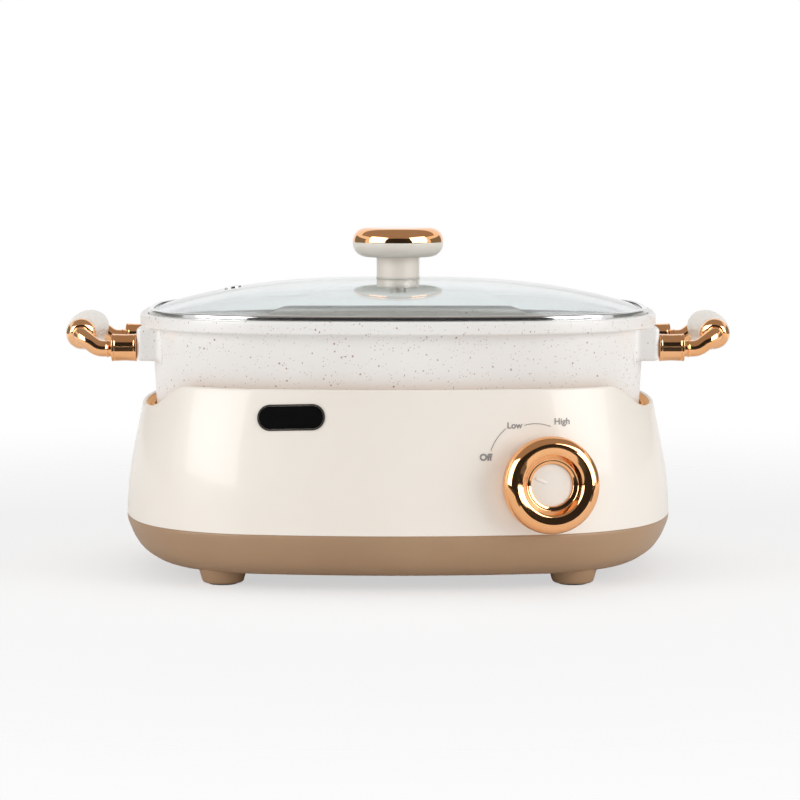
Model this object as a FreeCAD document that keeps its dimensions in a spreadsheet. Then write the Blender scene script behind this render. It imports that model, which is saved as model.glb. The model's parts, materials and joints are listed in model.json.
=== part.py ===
"""Electric hot pot: heated base, lift-out cooking pot with two handles, lift-off glass lid.

Millimetres.  X runs left to right, the front faces -Y, Z is up.  The origin lies on the table
under the middle of the pot, and the four foot pads stand at Z = 0.
"""
import FreeCAD
import Part
import math
import os
import re
import Sketcher

# ---------------------------------------------------------------- driving dimensions
SIZES = (
    # heated base: outline of tangent arcs, widest at the seam between the two shells
    ("base_half_width", 169.4),
    ("base_half_depth", 132.5),
    ("base_corner_radius", 92),
    ("base_side_radius", 190),
    ("base_front_radius", 480),
    ("base_floor", 9),
    ("bowl_low_height", 12.6),
    ("bowl_middle_height", 19.4),
    ("bowl_high_height", 27.2),
    ("seam_height", 35.3),
    ("bowl_floor_inset", 20),
    ("bowl_low_inset", 12.5),
    ("bowl_middle_inset", 5.8),
    ("bowl_high_inset", 1.9),
    ("shell_wall", 2.6),
    # cream housing above the seam
    ("belly_height", 62),
    ("belly_half_width", 167.4),
    ("belly_half_depth", 131),
    ("belly_corner_radius", 91),
    ("belly_side_radius", 200),
    ("belly_front_radius", 480),
    ("shoulder_height", 92),
    ("shoulder_half_width", 161.6),
    ("shoulder_half_depth", 126.8),
    ("shoulder_corner_radius", 89),
    ("shoulder_side_radius", 300),
    ("shoulder_front_radius", 500),
    ("rim_height", 120.3),
    ("rim_half_width", 156),
    ("rim_half_depth", 120),
    ("rim_corner_radius", 87),
    ("rim_side_radius", 500),
    ("rim_front_radius", 520),
    ("saddle_height", 103.5),
    ("saddle_shoulder", 127),
    ("saddle_foot", 152),
    ("saddle_round", 42),
    # case screws, their posts, and the slots in the floor
    ("screw_x", 132),
    ("screw_y", 48),
    ("screw_radius", 1.8),
    ("screw_head_radius", 3.6),
    ("screw_head_height", 1.6),
    ("screw_length", 16),
    ("post_radius", 4.4),
    ("post_rib", 2.4),
    ("post_reach", 29.5),
    ("post_top", 43),
    ("vent_row_length", 90),
    ("vent_rows_depth", 27),
    ("vent_slot_width", 3.4),
    # tan well liner
    ("liner_wall", 1.2),
    ("liner_gap", 0.3),
    ("liner_floor", 44),
    ("liner_draft", 3),
    ("liner_step", 1.6),
    # feet
    ("foot_x", 105.5),
    ("foot_y", 82),
    ("foot_top_radius", 14.5),
    ("foot_sole_radius", 12.2),
    ("foot_round", 2.5),
    ("foot_shoulder", 3.2),
    ("pad_radius", 8.5),
    ("pad_proud", 0.8),
    ("pad_thickness", 2.4),
    ("fit_gap", 0.15),
    # pot
    ("pot_half_width", 159.5),
    ("pot_half_depth", 120.5),
    ("pot_corner_radius", 92),
    ("pot_side_radius", 600),
    ("pot_front_radius", 520),
    ("pot_floor", 62.5),
    ("pot_floor_thickness", 3.5),
    ("pot_wall", 3.2),
    ("pot_foot_inset", 12.2),
    ("pot_neck_inset", 7.3),
    ("pot_floor_round", 12),
    ("flange_underside", 152.2),
    ("flange_top", 160.2),
    ("lid_seat_depth", 2.6),
    ("lid_seat_inset", 4.6),
    # handles
    ("arm_y", 49),
    ("lug_width", 14),
    ("lug_underside", 132.2),
    ("lug_end", 160),
    ("ferrule_end", 175.9),
    ("ferrule_height", 16.9),
    ("ferrule_width", 15.5),
    ("ferrule_waist", 0.7),
    ("arm_height", 139.4),
    ("arm_radius", 4.9),
    ("arm_rise_start", 179),
    ("grip_x", 194.2),
    ("grip_height", 147.8),
    ("grip_half_length", 37),
    ("grip_end_radius", 9.6),
    ("grip_radius", 11.7),
    ("collar_radius", 9.3),
    ("collar_length", 6.5),
    ("collar_bore_depth", 3),
    ("arm_rise_bend", 9),
    ("arm_bend_radius", 7.5),
    ("rod_radius", 2),
    ("stud_radius", 2.5),
    # lid
    ("lid_rim_gap", 0.6),
    ("lid_lift_gap", 0.3),
    ("lid_rim_top", 163.2),
    ("lid_rim_steel", 0.6),
    ("lid_rim_lip", 3.2),
    ("glass_thickness", 3.8),
    ("glass_edge_gap", 0.1),
    ("dome_height", 180),
    ("dome_power", 2.7),
    ("vent_x", 104),
    ("vent_y", 14),
    ("vent_radius", 5.4),
    ("vent_shank_radius", 3.4),
    ("vent_bore_radius", 2),
    ("vent_hole_radius", 4.2),
    # lid knob
    ("lid_knob_radius", 28.3),
    ("lid_knob_top", 211.5),
    ("lid_knob_split", 202.7),
    ("lid_knob_underside", 193.4),
    ("lid_knob_cap_round", 8.4),
    ("lid_knob_bowl_round", 8.6),
    ("lid_knob_stem_radius", 13.4),
    ("lid_knob_shell", 1.6),
    ("gasket_thickness", 0.7),
    ("lid_screw_radius", 2.5),
    ("lid_screw_head", 5),
    # control knob on the front face
    ("knob_x", 88),
    ("knob_height", 64.6),
    ("pointer_angle", 23),
    ("knob_ring_radius", 28.7),
    ("knob_ring_depth", 17.5),
    ("knob_ring_base_radius", 26),
    ("knob_ring_clearance", 1.8),
    ("knob_lip_radius", 15.6),
    ("knob_disc_radius", 12),
    ("knob_disc_height", 10.4),
    ("knob_disc_thickness", 2.3),
    ("pointer_width", 1),
    ("pointer_depth", 0.4),
    ("carrier_thickness", 3.1),
    ("shaft_radius", 3),
    ("shaft_flat", 2.2),
    ("shaft_gap", 0.06),
    ("bush_radius", 4.8),
    ("bush_length", 3.6),
    ("regulator_radius", 14),
    ("regulator_depth", 12.4),
    # indicator window
    ("window_x", 62.8),
    ("window_height", 104.1),
    ("window_length", 38.4),
    ("window_width", 13.8),
    ("bezel_width", 0.9),
    # heating
    ("heater_tube_radius", 4),
    ("heater_half_width", 96),
    ("heater_half_depth", 66),
    ("heater_bend", 30),
    ("heater_gap", 0.3),
    ("heater_leg_spacing", 26),
    ("probe_radius", 12.5),
    ("probe_height", 9),
    ("probe_stem_radius", 3.6),
    ("probe_stem_gap", 0.06),
    ("guide_radius", 10),
    ("guide_depth", 10),
    ("guide_flange_width", 6),
    ("guide_flange_thickness", 3),
    ("spring_wire_radius", 0.8),
    ("spring_radius", 7.5),
    ("tray_inset", 14),
    ("tray_flare", 8),
    ("tray_height", 5),
    ("tray_thickness", 0.8),
    ("cradle_half_width", 8),
    ("cradle_half_length", 27),
    ("cradle_half_gap", 20),
    ("cradle_cover", 1),
    # power inlet at the back
    ("inlet_height", 52),
    ("inlet_width", 31),
    ("inlet_tall", 23),
    ("inlet_depth", 12),
    ("inlet_ear", 9),
    ("inlet_flange", 2.2),
    ("inlet_collar", 6.8),
    ("inlet_screw_radius", 1.6),
    ("inlet_wall", 2.6),
)

document = FreeCAD.newDocument("hot_pot")
sheet = document.addObject("Spreadsheet::Sheet", "Sizes")
for row, (alias, number) in enumerate(SIZES, start=1):
    sheet.set(f"A{row}", alias)
    sheet.set(f"B{row}", str(number))
    sheet.setAlias(f"B{row}", alias)
document.recompute()

X, Y, Z = FreeCAD.Vector(1, 0, 0), FreeCAD.Vector(0, 1, 0), FreeCAD.Vector(0, 0, 1)
NAMES = {name for name, _ in SIZES}
subparts = []


def term(expression):
    """Prefix every size name in an expression with the sheet's name."""
    def prefix(match):
        word = match.group()
        return f"Sizes.{word}" if word in NAMES else word
    return re.sub(r"[a-z_]+", prefix, str(expression))


def value(expression):
    """Work out an expression of size names as a number."""
    return float(sheet_reader.evalExpression(term(expression)))


# ---------------------------------------------------------------- document helpers
def new_body(name):
    """Add a PartDesign body that is exported under its own name."""
    body = document.addObject("PartDesign::Body", name)
    body.Label = name
    subparts.append(body)
    return body


def new_sketch(body, role, offset=0):
    """Add a sketch on one of the body's own origin planes, moved along the plane's normal."""
    sketch = body.newObject("Sketcher::SketchObject", "Sketch")
    plane = next(item for item in body.Origin.OriginFeatures if item.Role == role)
    sketch.AttachmentSupport = [(plane, "")]
    sketch.MapMode = "FlatFace"
    if offset != 0:
        sketch.setExpression("AttachmentOffset.Base.z", term(offset))
    return sketch


sheet_reader = document.addObject("App::FeaturePython", "Reader")


def bind(sketch, constraint, expression):
    """Add a dimension to a sketch and tie it to the sheet."""
    index = sketch.addConstraint(constraint)
    sketch.setExpression(f"Constraints[{index}]", term(expression))


def fix_point(sketch, geometry, position, x, y):
    """Tie a point of a sketch to coordinates given as expressions."""
    for kind, expression in (("DistanceX", x), ("DistanceY", y)):
        number = value(expression)
        if abs(number) < 1e-9:
            axis = -2 if kind == "DistanceX" else -1
            sketch.addConstraint(Sketcher.Constraint("PointOnObject", geometry, position, axis))
        else:
            bind(sketch, Sketcher.Constraint(kind, -1, 1, geometry, position, number), expression)


def circle(sketch, x, y, radius):
    """Draw a circle."""
    centre = FreeCAD.Vector(value(x), value(y), 0)
    index = sketch.addGeometry(Part.Circle(centre, Z, value(radius)), False)
    fix_point(sketch, index, 3, x, y)
    bind(sketch, Sketcher.Constraint("Radius", index, value(radius)), radius)


def fillet_points(before, corner, after, radius):
    """Tangent points and arc middle where a corner is rounded."""
    back = (before - corner).normalize()
    ahead = (after - corner).normalize()
    half = math.acos(max(-1.0, min(1.0, back.dot(ahead)))) / 2
    reach = radius / math.tan(half)
    middle = (back + ahead).normalize()
    centre = corner + middle * (radius / math.sin(half))
    return corner + back * reach, centre - middle * radius, corner + ahead * reach


def profile(sketch, corners):
    """Draw a closed outline of lines; a corner with a third value is rounded to that radius.

    Each corner is (x, y) or (x, y, radius), as numbers or expressions.
    """
    points = [FreeCAD.Vector(value(corner[0]), value(corner[1]), 0) for corner in corners]
    count = len(points)
    cuts = []
    for index, corner in enumerate(corners):
        if len(corner) == 3:
            cuts.append(fillet_points(points[index - 1], points[index],
                                      points[(index + 1) % count], value(corner[2])))
        else:
            cuts.append(None)
    lines = []
    for index in range(count):
        start = cuts[index][2] if cuts[index] else points[index]
        following = (index + 1) % count
        end = cuts[following][0] if cuts[following] else points[following]
        lines.append(sketch.addGeometry(Part.LineSegment(start, end), False))
    for index, corner in enumerate(corners):
        arriving, leaving = lines[index - 1], lines[index]
        if cuts[index] is None:
            sketch.addConstraint(Sketcher.Constraint("Coincident", arriving, 2, leaving, 1))
            fix_point(sketch, leaving, 1, corner[0], corner[1])
            continue
        start, middle, end = cuts[index]
        turn = (points[index] - points[index - 1]).cross(points[(index + 1) % count] - points[index])
        if turn.z > 0:
            arc = sketch.addGeometry(Part.Arc(start, middle, end), False)
            first, last = 1, 2
        else:
            arc = sketch.addGeometry(Part.Arc(end, middle, start), False)
            first, last = 2, 1
        sketch.addConstraint(Sketcher.Constraint("Tangent", arriving, 2, arc, first))
        sketch.addConstraint(Sketcher.Constraint("Tangent", leaving, 1, arc, last))
        bind(sketch, Sketcher.Constraint("Radius", arc, value(corner[2])), corner[2])
        sharp = sketch.addGeometry(Part.Point(points[index]), True)
        sketch.addConstraint(Sketcher.Constraint("PointOnObject", sharp, 1, arriving))
        sketch.addConstraint(Sketcher.Constraint("PointOnObject", sharp, 1, leaving))
        fix_point(sketch, sharp, 1, corner[0], corner[1])


def rectangle(sketch, low_x, low_y, high_x, high_y, radius=None):
    """Draw a rectangle, rounded where a radius is given."""
    corners = ((low_x, low_y), (high_x, low_y), (high_x, high_y), (low_x, high_y))
    profile(sketch, [corner + (radius,) if radius else corner for corner in corners])


def pill(sketch, grow):
    """Draw the outline of the indicator window, larger all round by a margin."""
    half_length, half_width = f"(window_length / 2 + {grow})", f"(window_width / 2 + {grow})"
    rectangle(sketch, f"-{half_length}", f"-{half_width}", half_length, half_width,
              f"{half_width} * 0.98")


def oval(sketch, half_width, half_depth, corner, side, front):
    """Draw a rounded outline of eight tangent arcs, symmetric about both axes.

    The side arcs are centred on X, the front and back arcs on Y, and a corner arc joins each pair.
    """
    a, b, r, s, f = (value(item) for item in (half_width, half_depth, corner, side, front))
    side_x, front_y = a - s, b - f
    reach, climb = s - r, f - r
    span = math.hypot(side_x, front_y)
    along = (reach ** 2 - climb ** 2 + span ** 2) / (2 * span)
    across = math.sqrt(reach ** 2 - along ** 2)
    step_x, step_y = -side_x / span, front_y / span
    corners = [(side_x + along * step_x - sign * across * step_y,
                along * step_y + sign * across * step_x) for sign in (1, -1)]
    centre_x, centre_y = max(corners, key=sum)
    side_angle = math.atan2(centre_y, centre_x - side_x)
    front_angle = math.atan2(centre_y - front_y, centre_x)
    turns = ((side_x, 0, s, -side_angle, side_angle),
             (centre_x, centre_y, r, side_angle, front_angle),
             (0, front_y, f, front_angle, math.pi - front_angle),
             (-centre_x, centre_y, r, math.pi - front_angle, math.pi - side_angle),
             (-side_x, 0, s, math.pi - side_angle, math.pi + side_angle),
             (-centre_x, -centre_y, r, math.pi + side_angle, math.pi + front_angle),
             (0, -front_y, f, math.pi + front_angle, 2 * math.pi - front_angle),
             (centre_x, -centre_y, r, 2 * math.pi - front_angle, 2 * math.pi - side_angle))
    arcs = []
    for x, y, radius, start, end in turns:
        round_edge = Part.Circle(FreeCAD.Vector(x, y, 0), Z, radius)
        arcs.append(sketch.addGeometry(Part.ArcOfCircle(round_edge, start, end), False))
    for index in range(8):
        following = arcs[(index + 1) % 8]
        sketch.addConstraint(Sketcher.Constraint("Tangent", arcs[index], 2, following, 1))
    right, back, left, front_arc = arcs[0], arcs[2], arcs[4], arcs[6]
    bind(sketch, Sketcher.Constraint("Radius", right, s), side)
    bind(sketch, Sketcher.Constraint("Radius", back, f), front)
    bind(sketch, Sketcher.Constraint("Radius", arcs[1], r), corner)
    sketch.addConstraint(Sketcher.Constraint("Equal", right, left))
    sketch.addConstraint(Sketcher.Constraint("Equal", back, front_arc))
    for index in (3, 5, 7):
        sketch.addConstraint(Sketcher.Constraint("Equal", arcs[1], arcs[index]))
    bind(sketch, Sketcher.Constraint("DistanceX", -1, 1, right, 3, side_x),
         f"({half_width}) - ({side})")
    bind(sketch, Sketcher.Constraint("DistanceY", -1, 1, back, 3, front_y),
         f"({half_depth}) - ({front})")
    sketch.addConstraint(Sketcher.Constraint("PointOnObject", right, 3, -1))
    sketch.addConstraint(Sketcher.Constraint("PointOnObject", back, 3, -2))
    sketch.addConstraint(Sketcher.Constraint("Symmetric", right, 3, left, 3, -1, 1))
    sketch.addConstraint(Sketcher.Constraint("Symmetric", back, 3, front_arc, 3, -1, 1))


def inset(outline, amount):
    """Offset an outline of five expressions inwards."""
    return tuple(f"{item} - ({amount})" for item in outline)


def scaled(outline, share):
    """Scale an outline of five expressions about its middle."""
    return tuple(f"({item}) * {share}" for item in outline)


def feature(body, kind, sketch, **settings):
    """Add a PartDesign feature that is made from a sketch."""
    item = body.newObject(f"PartDesign::{kind}", kind)
    item.Profile = sketch
    for name, setting in settings.items():
        setattr(item, name, setting)
    return item


def pad(body, sketch, length, back=None, reverse=False):
    """Extrude a sketch by a length, and by another length the other way."""
    item = feature(body, "Pad", sketch, Reversed=reverse)
    item.setExpression("Length", term(length))
    if back is not None:
        item.SideType = "Two sides"
        item.setExpression("Length2", term(back))
    return item


def pocket(body, sketch, length, reverse=False):
    """Cut a sketch to a depth."""
    item = feature(body, "Pocket", sketch, Reversed=reverse)
    item.setExpression("Length", term(length))
    return item


def pocket_through(body, sketch):
    """Cut a sketch right through, both ways."""
    return feature(body, "Pocket", sketch, SideType="Symmetric", Type="ThroughAll")


def revolve(body, sketch, cut=False):
    """Turn a sketch about its own vertical axis."""
    item = feature(body, "Groove" if cut else "Revolution", sketch, Angle=360)
    item.ReferenceAxis = (sketch, ["V_Axis"])
    return item


def loft(body, sections, cut=False):
    """Blend a stack of outlines, each (height, outline), into a smooth solid or hollow."""
    sketches = []
    for height, outline in sections:
        sketch = new_sketch(body, "XY_Plane", height)
        oval(sketch, *outline)
        sketches.append(sketch)
    kind = "SubtractiveLoft" if cut else "AdditiveLoft"
    return feature(body, kind, sketches[0], Sections=sketches[1:], Ruled=len(sections) == 2)


def edges_at(shape, height):
    """Names of the edges that lie wholly at one height."""
    names = []
    for index, edge in enumerate(shape.Edges, start=1):
        box = edge.BoundBox
        if abs(box.ZMin - height) < 0.01 and abs(box.ZMax - height) < 0.01:
            names.append(f"Edge{index}")
    return names


def round_edges(body, names, radius):
    """Round the named edges of the body's last feature."""
    base = body.Tip
    item = body.newObject("PartDesign::Fillet", "Fillet")
    item.Base = (base, names)
    item.setExpression("Radius", term(radius))
    return item


def place(body, x=0, y=0, z=0, rotation=None):
    """Put a body at a point given as expressions, turned where a rotation is given."""
    if rotation is not None:
        body.Placement = FreeCAD.Placement(FreeCAD.Vector(0, 0, 0), rotation)
    for axis, expression in (("x", x), ("y", y), ("z", z)):
        if expression != 0:
            body.setExpression(f"Placement.Base.{axis}", term(expression))


def solid_node(name, shape):
    """Add a node whose shape comes from swept tubes, with sizes read from the sheet."""
    item = document.addObject("Part::Feature", name)
    item.Label = name
    item.Shape = shape
    subparts.append(item)
    return item


def rounded_path(points, radii):
    """Wire of straight runs joined by tangent arcs; one radius for each inner point."""
    edges = []
    start = points[0]
    for index in range(1, len(points) - 1):
        enter, middle, leave = fillet_points(points[index - 1], points[index],
                                             points[index + 1], radii[index - 1])
        if start.distanceToPoint(enter) > 1e-6:
            edges.append(Part.LineSegment(start, enter).toShape())
        edges.append(Part.Arc(enter, middle, leave).toShape())
        start = leave
    edges.append(Part.LineSegment(start, points[-1]).toShape())
    return Part.Wire(edges)


def tube(points, radii, radius):
    """Round bar swept along a rounded path."""
    path = rounded_path(points, radii)
    direction = points[1] - points[0]
    ring = Part.Wire(Part.Circle(points[0], direction, radius).toShape())
    return path.makePipeShell([ring], True, False)


# ---------------------------------------------------------------- shared outlines
SEAM = ("base_half_width", "base_half_depth", "base_corner_radius",
        "base_side_radius", "base_front_radius")
BELLY = ("belly_half_width", "belly_half_depth", "belly_corner_radius",
         "belly_side_radius", "belly_front_radius")
SHOULDER = ("shoulder_half_width", "shoulder_half_depth", "shoulder_corner_radius",
            "shoulder_side_radius", "shoulder_front_radius")
RIM = ("rim_half_width", "rim_half_depth", "rim_corner_radius",
       "rim_side_radius", "rim_front_radius")
FLANGE = ("pot_half_width", "pot_half_depth", "pot_corner_radius",
          "pot_side_radius", "pot_front_radius")
FEET = (("front_left", -1, -1), ("front_right", 1, -1), ("rear_left", -1, 1), ("rear_right", 1, 1))


def saddle_cut(body, drop=0):
    """Cut the dips that leave both sides of the rim lower than its front and back."""
    for side in (1, -1):
        sketch = new_sketch(body, "XZ_Plane")
        clear = "base_half_width * 1.2"
        level = f"rim_height - ({drop})"
        dip = f"saddle_height - ({drop})"
        above = "rim_height + 20"
        profile(sketch, ((f"{side} * saddle_shoulder * 0.6", level),
                         (f"{side} * saddle_shoulder", level, "saddle_round"),
                         (f"{side} * saddle_foot", dip, "saddle_round"),
                         (f"{side} * {clear}", dip),
                         (f"{side} * {clear}", above),
                         (f"{side} * saddle_shoulder * 0.6", above)))
        pocket_through(body, sketch)


# ---------------------------------------------------------------- heated base
def lower_shell():
    """Tan bowl: lofted shell with foot holes, vent slots and screw holes in its floor."""
    body = new_body("lower_shell")
    levels = (("base_floor", "bowl_floor_inset"), ("bowl_low_height", "bowl_low_inset"),
              ("bowl_middle_height", "bowl_middle_inset"),
              ("bowl_high_height", "bowl_high_inset"), ("seam_height", "0"))
    loft(body, [(height, inset(SEAM, depth)) for height, depth in levels])
    inner = [(f"{height} + shell_wall", inset(SEAM, f"{depth} + shell_wall"))
             for height, depth in levels]
    loft(body, inner, cut=True)
    holes = new_sketch(body, "XY_Plane", "base_floor")
    for _, side, end in FEET:
        circle(holes, f"{side} * foot_x", f"{end} * foot_y", "foot_top_radius + fit_gap")
        circle(holes, f"{side} * screw_x", f"{end} * screw_y", "screw_radius + fit_gap")
    pocket(body, holes, "shell_wall * 3", reverse=True)
    slot = new_sketch(body, "XY_Plane", "base_floor")
    rectangle(slot, "-vent_row_length / 2", "-vent_rows_depth", "vent_row_length / 2",
              "vent_slot_width - vent_rows_depth", "vent_slot_width * 0.48")
    first = pocket(body, slot, "shell_wall * 3", reverse=True)
    document.recompute()
    rows = body.newObject("PartDesign::LinearPattern", "VentRows")
    rows.Originals = [first]
    rows.Direction = (slot, ["V_Axis"])
    rows.setExpression("Length", term("vent_rows_depth * 2 - vent_slot_width"))
    rows.Occurrences = 7
    body.Tip = rows
    return body


def upper_housing():
    """Cream housing: barrelled shell with dipped sides, window, knob hole, inlet and posts."""
    body = new_body("upper_housing")
    levels = (("seam_height", SEAM), ("belly_height", BELLY),
              ("shoulder_height", SHOULDER), ("rim_height", RIM))
    skin = loft(body, levels)
    document.recompute()
    window_seat = front_seat(skin.Shape, "-window_x", "window_height")
    knob_seat = front_seat(skin.Shape, "knob_x", "knob_height")
    loft(body, [(height, inset(outline, "shell_wall")) for height, outline in levels], cut=True)
    saddle_cut(body)
    window = new_sketch(body, "XY_Plane")
    window.AttachmentOffset = window_seat
    pill(window, "bezel_width + fit_gap")
    bush_hole = new_sketch(body, "XY_Plane")
    bush_hole.AttachmentOffset = knob_seat
    circle(bush_hole, 0, 0, "bush_radius + fit_gap")
    for sketch in (window, bush_hole):
        cut = pocket(body, sketch, "shell_wall * 3")
        cut.SideType = "Symmetric"
    inlet = new_sketch(body, "XZ_Plane")
    rectangle(inlet, "-inlet_width / 2", "inlet_height - inlet_tall / 2",
              "inlet_width / 2", "inlet_height + inlet_tall / 2")
    for side in (-1, 1):
        circle(inlet, f"{side} * (inlet_width + inlet_ear) / 2", "inlet_height",
               "inlet_screw_radius")
    pocket(body, inlet, "base_half_depth", reverse=False)
    posts = new_sketch(body, "XY_Plane", "base_floor + shell_wall + fit_gap")
    for _, side, end in FEET:
        circle(posts, f"{side} * screw_x", f"{end} * screw_y", "post_radius")
    pad(body, posts, "post_top - base_floor - shell_wall - fit_gap")
    ribs = new_sketch(body, "XY_Plane", "seam_height + fit_gap")
    for _, side, end in FEET:
        rectangle(ribs, f"{side} * screw_x", f"{end} * screw_y - post_rib / 2",
                  f"{side} * (screw_x + post_reach)", f"{end} * screw_y + post_rib / 2")
    pad(body, ribs, "post_top - seam_height - fit_gap")
    bores = new_sketch(body, "XY_Plane", "base_floor")
    for _, side, end in FEET:
        circle(bores, f"{side} * screw_x", f"{end} * screw_y", "screw_radius")
    pocket(body, bores, "screw_length + shell_wall * 2", reverse=True)
    return skin, window_seat, knob_seat


def inner_well():
    """Tan liner inside the housing, its edge a step below the rim, with a pressed floor."""
    body = new_body("inner_well")
    top = inset(RIM, "shell_wall + liner_gap")
    low = inset(top, "liner_draft")
    loft(body, (("liner_floor", low), ("rim_height - liner_step", top)))
    loft(body, (("liner_floor + liner_wall", inset(low, "liner_wall")),
                ("rim_height - liner_step", inset(top, "liner_wall"))), cut=True)
    saddle_cut(body, "liner_step")
    holes = new_sketch(body, "XY_Plane", "liner_floor")
    circle(holes, 0, 0, "probe_radius + 1.5")
    for side in (-1, 1):
        circle(holes, f"{side} * heater_leg_spacing / 2", "heater_half_depth",
               "heater_tube_radius + 1")
    pocket(body, holes, "liner_wall * 2", reverse=True)
    return body


def feet():
    """Four tapered feet set into holes in the floor, each hollowed for its rubber pad."""
    for name, side, end in FEET:
        body = new_body(f"{name}_foot")
        outline = new_sketch(body, "XZ_Plane")
        profile(outline, ((0, "pad_proud"), ("foot_sole_radius", "pad_proud", "foot_round"),
                          ("foot_top_radius", "base_floor"),
                          ("foot_top_radius", "base_floor + foot_shoulder"),
                          (0, "base_floor + foot_shoulder")))
        revolve(body, outline)
        seat = new_sketch(body, "XY_Plane", "pad_proud")
        circle(seat, 0, 0, "pad_radius + fit_gap")
        pocket(body, seat, "pad_thickness - pad_proud", reverse=True)
        place(body, f"{side} * foot_x", f"{end} * foot_y")


def discs(body, height, length, centres, radius):
    """Raise a set of round discs from one height."""
    sketch = new_sketch(body, "XY_Plane", height)
    for x, y in centres:
        circle(sketch, x, y, radius)
    return pad(body, sketch, length)


def case_fasteners():
    """Rubber pads under the feet, and the screws that hold the two shells together."""
    centres = [(f"{side} * foot_x", f"{end} * foot_y") for _, side, end in FEET]
    discs(new_body("foot_pads"), 0, "pad_thickness", centres, "pad_radius")
    centres = [(f"{side} * screw_x", f"{end} * screw_y") for _, side, end in FEET]
    screws = new_body("case_screws")
    discs(screws, "base_floor - screw_head_height", "screw_head_height", centres,
          "screw_head_radius")
    discs(screws, "base_floor", "screw_length", centres, "screw_radius")


def heating():
    """Tubular element on four cradles over a polished tray, with the spring-loaded probe."""
    centre = value("pot_floor - heater_gap - heater_tube_radius")
    width, depth = value("heater_half_width"), value("heater_half_depth")
    leg, foot = value("heater_leg_spacing / 2"), value("liner_floor - 12")
    points = [FreeCAD.Vector(*point) for point in (
        (leg, depth, foot), (leg, depth, centre), (width, depth, centre),
        (width, -depth, centre), (-width, -depth, centre), (-width, depth, centre),
        (-leg, depth, centre), (-leg, depth, foot))]
    bend, knee = value("heater_bend"), value("heater_tube_radius * 2")
    solid_node("heater_element", tube(points, [knee, bend, bend, bend, bend, knee],
                                      value("heater_tube_radius")))

    tray = new_body("reflector_tray")
    low = inset(RIM, "shell_wall + liner_gap + liner_draft + liner_wall + tray_inset")
    top = inset(low, "-tray_flare")
    base, sheet_metal = "liner_floor + liner_wall", "tray_thickness"
    loft(tray, ((base, low), (f"{base} + tray_height", top)))
    loft(tray, ((f"{base} + {sheet_metal}", inset(low, sheet_metal)),
                (f"{base} + tray_height", inset(top, sheet_metal))), cut=True)
    holes = new_sketch(tray, "XY_Plane", base)
    circle(holes, 0, 0, "probe_radius + 1.5")
    for side in (-1, 1):
        circle(holes, f"{side} * heater_leg_spacing / 2", "heater_half_depth",
               "heater_tube_radius + 1")
    pocket(tray, holes, "3", reverse=True)

    cradles = new_body("element_cradles")
    floor = f"{base} + {sheet_metal}"
    tube_middle = "pot_floor - heater_gap - heater_tube_radius"
    blocks = new_sketch(cradles, "XZ_Plane")
    for side in (-1, 1):
        rectangle(blocks, f"{side} * heater_half_width - cradle_half_width", floor,
                  f"{side} * heater_half_width + cradle_half_width",
                  f"{tube_middle} + cradle_cover", "cradle_cover")
    pad(cradles, blocks, "cradle_half_length", back="cradle_half_length")
    middle = new_sketch(cradles, "XZ_Plane")
    for side in (-1, 1):
        rectangle(middle, f"{side} * heater_half_width - cradle_half_width - 1", f"{floor} - 1",
                  f"{side} * heater_half_width + cradle_half_width + 1", f"{tube_middle} + 3")
    gap = pocket(cradles, middle, "cradle_half_gap")
    gap.SideType = "Two sides"
    gap.setExpression("Length2", term("cradle_half_gap"))
    groove = new_sketch(cradles, "XZ_Plane")
    for side in (-1, 1):
        profile(groove, ((f"{side} * heater_half_width - heater_tube_radius - 0.1",
                          f"{tube_middle} - heater_tube_radius - 0.1", "heater_tube_radius"),
                         (f"{side} * heater_half_width + heater_tube_radius + 0.1",
                          f"{tube_middle} - heater_tube_radius - 0.1", "heater_tube_radius"),
                         (f"{side} * heater_half_width + heater_tube_radius + 0.1",
                          f"{tube_middle} + 3"),
                         (f"{side} * heater_half_width - heater_tube_radius - 0.1",
                          f"{tube_middle} + 3")))
    pocket_through(cradles, groove)


def probe():
    """Spring-loaded temperature probe: puck on a stem, guide cup and coil spring."""
    puck = new_body("probe_puck")
    outline = new_sketch(puck, "XZ_Plane")
    top = "pot_floor - heater_gap"
    profile(outline, ((0, "liner_floor - 15"), ("probe_stem_radius", "liner_floor - 15"),
                      ("probe_stem_radius", f"{top} - probe_height + 2"),
                      ("probe_radius - 2", f"{top} - probe_height + 2"),
                      ("probe_radius - 2", f"{top} - probe_height"),
                      ("probe_radius", f"{top} - probe_height"),
                      ("probe_radius", top, 1.5), (0, top)))
    revolve(puck, outline)

    cup = new_body("probe_guide")
    outline = new_sketch(cup, "XZ_Plane")
    bore = "probe_stem_radius + probe_stem_gap"
    foot, face = "liner_floor - guide_depth", "liner_floor - guide_flange_thickness"
    edge = "probe_radius + guide_flange_width"
    profile(outline, ((bore, foot), ("guide_radius", foot), ("guide_radius", face), (edge, face),
                      (edge, "liner_floor"), (bore, "liner_floor")))
    revolve(cup, outline)

    wire, mean, turns = value("spring_wire_radius"), value("spring_radius"), 4
    low = value("liner_floor") + wire / 2
    high = value("pot_floor - heater_gap - probe_height") + 2 * wire
    rise = (high - low - 2 * wire) / turns
    helix = Part.makeHelix(rise, rise * turns, mean)
    ring = Part.Wire(Part.Circle(FreeCAD.Vector(mean, 0, 0), Y, wire).toShape())
    coil = helix.makePipeShell([ring], True, True)
    coil.translate(FreeCAD.Vector(0, 0, low + wire))
    solid_node("probe_spring", coil)


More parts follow.
